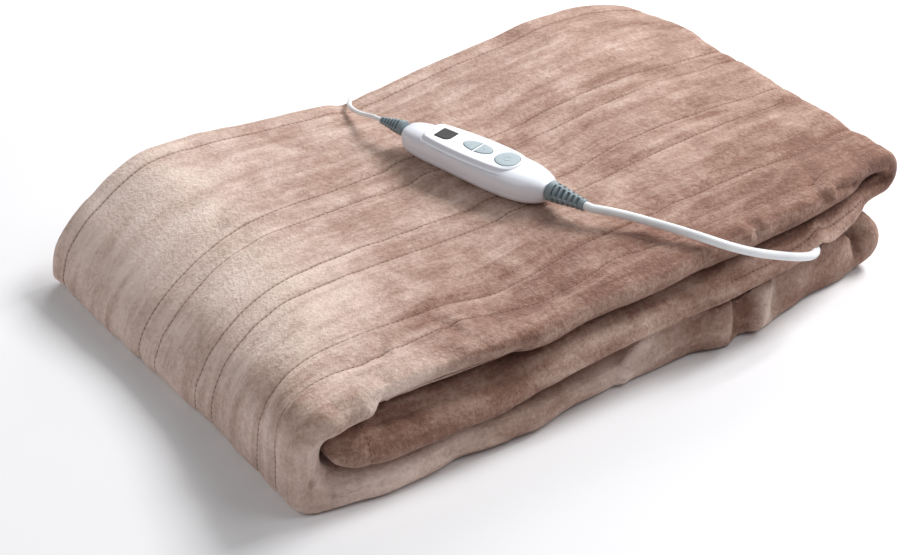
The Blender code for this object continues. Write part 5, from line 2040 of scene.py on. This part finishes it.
    def power_symbol(self, material: Material) -> Object:
        """Raise the plain on-off sign on its key: a broken ring and a short bar."""
        radius = 2.5 * MM
        turn = np.radians(np.linspace(35, 325, 34))
        ring = stacked(self.power_u - radius * np.cos(turn), radius * np.sin(turn))
        bar = stacked(self.power_u - np.linspace(1.2, 3.6, 6) * MM, 0.0)
        return self.sign("power_key_sign", [ring, bar], 0.28 * MM, material)

    def key_sign(self, name: str, side: int, upright: bool, material: Material) -> Object:
        """Raise a minus or, with the upright bar, a plus on a key of the pair.

        Args:
            name: The piece's name.
            side: -1 for the cooler key, 1 for the warmer one.
            upright: Whether it has its second bar.
            material: Its finish.

        Returns:
            The sign.
        """
        middle = self.keys_u + side * self.sign_u
        bar = np.linspace(-1, 1, 5) * self.sign_half
        lines = [stacked(middle, bar), stacked(middle + bar, 0.0)]
        return self.sign(name, lines if upright else lines[:1], 0.26 * MM, material)

    def sign(self, name: str, lines: list, half: float, material: Material) -> Object:
        """Raise a sign's lines on a key.

        Args:
            name: The piece's name.
            lines: Points along each line in the handset's frame.
            half: Half the width of a line.
            material: Its finish.

        Returns:
            The sign.
        """
        points, faces = joined([self.raised_line(line, half) for line in lines])
        return mesh_object(name, placed(points, self.place()), faces, material)

    def raised_line(self, line: np.ndarray, half: float) -> tuple:
        """Carry a low flattened section along a line on a key's face.

        Args:
            line: Points along it in the handset's frame.
            half: Half its width.

        Returns:
            Its points and its faces.
        """
        top = self.plate_top_z + self.key_proud + self.sign_proud
        way = np.gradient(line, axis=0)
        way /= np.linalg.norm(way, axis=-1, keepdims=True)
        side = stacked(-way[:, 1], way[:, 0])
        bend = full_turn(8)
        flat = line[:, None, :] + side[:, None, :] * (half * np.cos(bend))[None, :, None]
        points = stacked(flat[..., 0], flat[..., 1], top + half * 0.45 * np.sin(bend))
        return points.reshape(-1, 3), tube_faces(*points.shape[:2])

    def build(self) -> None:
        """Make every piece of the handset and ride each on its body."""
        white = Plastic.HOUSING.value.material()
        grey = Plastic.KEYS.value.material()
        sleeve = Plastic.SLEEVE.value.material()
        top = self.plate_top_z
        key_low, key_high = top + self.key_proud - self.key_thick, top + self.key_proud
        pieces = [
            (self.shell(Half.LOWER, "lower_housing", white), ROOT, "handset_base", "housing_white"),
            (self.shell(Half.UPPER, "upper_housing", white), ROOT, "handset_top", "housing_white"),
            (self.plate(white), ROOT, "handset_plate", "housing_white"),
            (self.key_rim(white), ROOT, None, "housing_white"),
            (self.cap("smoked_window", self.window_outline(), top - 1.0 * MM, top + 0.12 * MM, 0.02 * MM,
                      Plastic.DISPLAY.value.material(), 0.2 * MM), ROOT, "display_window", "display_black"),
            (self.cap("minus_key", self.key_outline(-1), key_low, key_high, 0.12 * MM, grey),
             "cooler_key", "cooler_key", "key_grey"),
            (self.cap("plus_key", self.key_outline(1), key_low, key_high, 0.12 * MM, grey),
             "warmer_key", "warmer_key", "key_grey"),
            (self.cap("round_key", self.round_outline(self.power_radius), key_low, key_high, 0.12 * MM, grey),
             "power_key", "power_key", "key_grey"),
            (self.key_sign("minus_key_sign", -1, False, grey), "cooler_key", None, "key_grey"),
            (self.key_sign("plus_key_sign", 1, True, grey), "warmer_key", None, "key_grey"),
            (self.power_symbol(grey), "power_key", None, "key_grey"),
            (self.sleeve("mains_sleeve", 1, self.front_sleeve, sleeve), ROOT, "mains_relief", "relief_grey"),
            (self.sleeve("thin_sleeve", -1, self.back_sleeve, sleeve), ROOT, "thin_relief", "relief_grey"),
        ]
        for piece, body, node, slot in pieces:
            settle(piece, body, node)


def settle(piece: Object, body: str, node: str | list | None) -> None:
    """Ride a piece on its body, let it stand for its node and report it.

    Args:
        piece: The finished piece.
        body: The body that it moves with.
        node: The node or nodes that it stands for, if any.
    """
    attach(piece, body)
    if node:
        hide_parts(*([node] if isinstance(node, str) else node))
    log.info("%s rides on %s", piece.name, body)


# ---------------------------------------------------------------- leads and plug
# The mains lead's way in mm: over the front lip, in between the layers, and down behind.
MAINS_ROUTE = (
    (30.5, -94, 88.0), (38, -106, 86.6), (46, -120, 85.9), (55.5, -137.5, 85.4),
    (62, -148, 83.9), (70, -156.5, 80.4), (81, -162, 74.8), (95, -165, 68.4),
    (110, -166.5, 62.2), (124, -167.5, 56.2), (136, -167.5, 51.0), (146.5, -165.8, 47.2),
    (154.5, -161.0, 44.4), (160.0, -152.0, 42.6),
)
HIDDEN_Y = (-138, -122, -100, -75, -50, -25, 0, 25, 50, 75, 100, 125, 142, 154, 164)
MAINS_DROP = ((161.8, 172, 40.0), (160, 177, 31.5), (156, 180, 21.5), (150.5, 182.5, 15.4))
THIN_ROUTE = (
    (-27.6, 97.0, 88.4), (-27.3, 103.0, 86.2), (-26.5, 110.5, 83.2), (-24.8, 119.3, 79.8),
    (-22.8, 127.6, 76.8), (-19.9, 137.1, 73.6), (-16.7, 145.2, 71.0), (-13.2, 151.2, 69.2),
    (-8.8, 156.6, 67.6), (-4.6, 162.0, 66.0), (-1.6, 166.9, 62.6), (-0.8, 169.9, 57.4),
    (-2.4, 171.9, 50.8), (-6.0, 174.6, 44.6), (-11.4, 177.8, 39.2), (-18.0, 180.2, 34.6),
    (-24.2, 179.8, 30.4), (-28.6, 175.9, 27.0),
)
PIN_PROFILE = ((0.3, 1.0), (6.0, 1.0), (10.0, 1.0), (17.0, 1.0), (18.0, 0.93), (18.6, 0.76),
               (18.9, 0.5), (19.0, 0.15))          # mm from the plug's face, share of the radius
PLUG_TAIL = ((138.95, 174.65, 3.5), (131.5, 178.6, 4.2), (123.5, 182.4, 5.6), (114.5, 184.6, 6.9),
             (106.4, 185.0, 7.1))


@dataclass
class Leads:
    """The mains lead with its neat coil and plug, and the thin lead into the blanket."""

    mains_radius: float = 3.0 * MM
    thin_radius: float = 1.6 * MM
    coil_x: float = 166 * MM
    coil_y: float = 209 * MM
    coil_mid: float = 31.5 * MM
    coil_lanes: int = 3
    coil_lift: float = 0.2 * MM
    coil_start_deg: float = -120.0
    points_a_turn: int = 24
    gland_at: tuple = (-30 * MM, 161.5 * MM, 24.5 * MM)
    gland_size: tuple = (11 * MM, 9 * MM, 6 * MM)
    plug_at: tuple = (70 * MM, 185 * MM)
    plug_length: float = 36 * MM
    plug_half_width: float = 17.6 * MM
    plug_half_thick: float = 6.9 * MM
    pin_radius: float = 2.0 * MM
    pin_spacing: float = 18.6 * MM

    def mains_points(self, handset: Handset, cloth: FoldedBlanket) -> np.ndarray:
        """Follow the mains lead from its sleeve to its plug.

        Args:
            handset: The handset that it leaves.
            cloth: The blanket between whose layers it passes.

        Returns:
            Points along its middle.
        """
        start, mouth, ahead = (handset.along_exit(1, out * MM) for out in (-1.5, 0.3, 6))
        hidden = [(cloth.trench_x, y * MM, cloth.between_layers(cloth.trench_x, y * MM)) for y in HIDDEN_Y]
        laid = [ahead, *np.array(MAINS_ROUTE) * MM, *hidden, *np.array(MAINS_DROP) * MM]
        laid = ironed(smooth_route(laid, 5 * MM), 14)
        coil = self.coil_points()
        tail = np.array(PLUG_TAIL) * MM
        wound = smooth_route(np.concatenate([laid[-2:], coil[2:]]), 7 * MM)
        drawn = smooth_route(np.concatenate([coil[-3:], tail[1:]]), 6 * MM)
        into_plug = tail[-1] + np.array([-4 * MM, 0, 0])
        return np.concatenate([[start, mouth], laid[:-2], wound[:-6], drawn[2:], [into_plug]])

    def coil_points(self) -> np.ndarray:
        """Wind the coil clockwise: out to in on top, then in to out below, lane by lane.

        Each turn keeps its lane and slips to the next over a sixth of a turn; the first
        comes down from above and the last runs out to the tail.

        Returns:
            Points along the turns.
        """
        turns = 2 * self.coil_lanes
        share = np.linspace(0, turns, turns * self.points_a_turn + 1)
        angle = math.radians(self.coil_start_deg) - share * 2 * math.pi
        whole = np.floor(share)
        slip = whole + smoothstep(0.80, 0.97, share - whole)
        lane = np.abs(slip - self.coil_lanes + 0.5) - 0.5
        lane = np.clip(lane, 0, self.coil_lanes - 1)
        inner = self.coil_mid - (self.coil_lanes - 1) * self.mains_radius
        radius = inner + lane * 2 * self.mains_radius
        below = smoothstep(self.coil_lanes - 0.22, self.coil_lanes - 0.02, share)
        z = self.coil_lift + self.mains_radius * (3 - 2 * below)
        first = 1 - smoothstep(0.0, 0.14, share)
        radius = radius - first * (radius - 31.2 * MM)
        z = z + (1 - smoothstep(0.04, 0.24, share)) * 6.0 * MM
        out = smoothstep(turns - 0.14, turns, share)
        radius = radius + out * 5.2 * MM
        x, y = self.coil_x + radius * np.cos(angle), self.coil_y + radius * np.sin(angle)
        return stacked(x, y, z)

    def thin_points(self, handset: Handset) -> np.ndarray:
        """Follow the thin lead from its sleeve over the hem to its gland.

        Args:
            handset: The handset that it leaves.

        Returns:
            Points along its middle.
        """
        start, ahead = (handset.along_exit(-1, out * MM) for out in (-1.5, 4))
        mouth = Vector(self.gland_at) + Vector((0, self.gland_size[1] / 2 + 0.3 * MM, 0))
        before = mouth + Vector((0, 3 * MM, 0.3 * MM))
        laid = ironed(smooth_route([ahead, *np.array(THIN_ROUTE) * MM, before], 2.6 * MM), 6)
        return np.concatenate([[start], laid, [mouth], [mouth + Vector((0, -1.5 * MM, 0))]])

    def tube(self, name: str, points: np.ndarray, radius: float, material: Material) -> Object:
        """Draw a lead as a round bevelled curve through its points.

        Args:
            name: The piece's name.
            points: Points along its middle.
            radius: Its radius.
            material: Its finish.

        Returns:
            The lead.
        """
        curve = bpy.data.curves.new(name, "CURVE")
        curve.dimensions = "3D"
        curve.bevel_depth = radius
        curve.bevel_resolution = 4
        curve.use_fill_caps = True
        spline = curve.splines.new("POLY")
        spline.points.add(len(points) - 1)
        spline.points.foreach_set("co", stacked(*points.T, 1.0).ravel())
        curve.materials.append(material)
        return added(name, curve)

    def plug_body(self, material: Material) -> Object:
        """Loft the plug: superellipse sections that narrow to a ribbed neck.

        Args:
            material: Its finish.

        Returns:
            The plug without its pins.
        """
        along = np.linspace(0, 1, 72)
        stops = (0.0, 0.03, 0.35, 0.62, 0.80, 0.92, 1.0)
        wide = smooth_between(stops, (0.94, 1.0, 1.0, 0.86, 0.52, 0.36, 0.30), along)
        thick = smooth_between(stops, (0.90, 1.0, 1.0, 0.98, 0.84, 0.70, 0.62), along)
        ribs = 1 - 0.10 * smoothstep(0.74, 0.80, along) * (np.sin((along - 0.74) * 2 * math.pi * 19) > 0.2)
        bend, power = full_turn(48), 2 / 3.2
        y = (self.plug_half_width * wide * ribs)[:, None] * signed_power(np.cos(bend), power)
        z = (self.plug_half_thick * thick * ribs)[:, None] * signed_power(np.sin(bend), power)
        points = stacked(along[:, None] * self.plug_length, y, z)
        middle = np.array([*self.plug_at, self.plug_half_thick + self.coil_lift])
        obj = mesh_object("two_pin_plug", points + middle, tube_faces(*points.shape[:2]), material)
        sharp_edges(obj, 50)
        return obj

    def pin(self, name: str, side: int, material: Material) -> Object:
        """Turn a round pin with a domed tip.

        Args:
            name: The piece's name.
            side: -1 for the left pin, 1 for the right one.
            material: Its finish.

        Returns:
            The pin.
        """
        rows = np.array(PIN_PROFILE) * np.array([MM, self.pin_radius])
        bend = full_turn(28)
        run, radius = rows[:, :1], rows[:, 1:]
        points = stacked(-run, radius * np.cos(bend), radius * np.sin(bend))
        middle = np.array([self.plug_at[0], self.plug_at[1] + side * self.pin_spacing / 2,
                           self.plug_half_thick + self.coil_lift])
        return mesh_object(name, points + middle, tube_faces(*points.shape[:2]), material)

    def gland(self, material: Material) -> Object:
        """Loft the thin lead's gland: a soft block, rounder towards both its faces.

        Args:
            material: Its finish.

        Returns:
            The gland.
        """
        along = np.linspace(-0.5, 0.5, 22)
        size = np.array(self.gland_size)
        round_off = 1 - 0.22 * np.abs(2 * along) ** 6
        bend = full_turn(40)
        x = size[0] / 2 * round_off[:, None] * signed_power(np.cos(bend), 0.5)
        z = size[2] / 2 * round_off[:, None] * signed_power(np.sin(bend), 0.5)
        points = stacked(x, along[:, None] * size[1], z) + np.array(self.gland_at)
        return mesh_object("lead_entry", points, tube_faces(*points.shape[:2]), material)

    def build(self, handset: Handset, cloth: FoldedBlanket) -> np.ndarray:
        """Make both leads and what is on them, and settle each on its body.

        Args:
            handset: The handset that they leave.
            cloth: The blanket that they lie on.

        Returns:
            Points along both leads.
        """
        sheath = Plastic.SHEATH.value.material()
        brass = PlatedBrass().material()
        mains, thin = self.mains_points(handset, cloth), self.thin_points(handset)
        mains_lead = self.tube("mains_flex", mains, self.mains_radius, sheath)
        thin_lead = self.tube("thin_flex", thin, self.thin_radius, sheath)
        plug = self.plug_body(sheath)
        pins = [self.pin(name, side, brass) for name, side in (("left_pin", -1), ("right_pin", 1))]
        entry = self.gland(Plastic.SLEEVE.value.material())
        settle(mains_lead, ROOT, ["mains_lead", "mains_coil", "plug_tail"])
        settle(thin_lead, ROOT, "blanket_lead")
        settle(plug, ROOT, "mains_plug")
        settle(pins[0], ROOT, "plug_pin_left")
        settle(pins[1], ROOT, "plug_pin_right")
        settle(entry, ROOT, "lead_gland")
        return np.concatenate([mains, thin])


def main() -> None:
    """Set the studio, then build the leads, the blanket and the handset."""
    logging.basicConfig(level=logging.INFO, format="%(message)s")
    Studio().build()
    handset, cloth = Handset(), FoldedBlanket()
    leads = Leads().build(handset, cloth)
    blanket, thread = cloth.build(leads)
    settle(blanket, ROOT, "blanket")
    settle(thread, ROOT, None)
    handset.build()


if __name__ == "__main__":
    main()
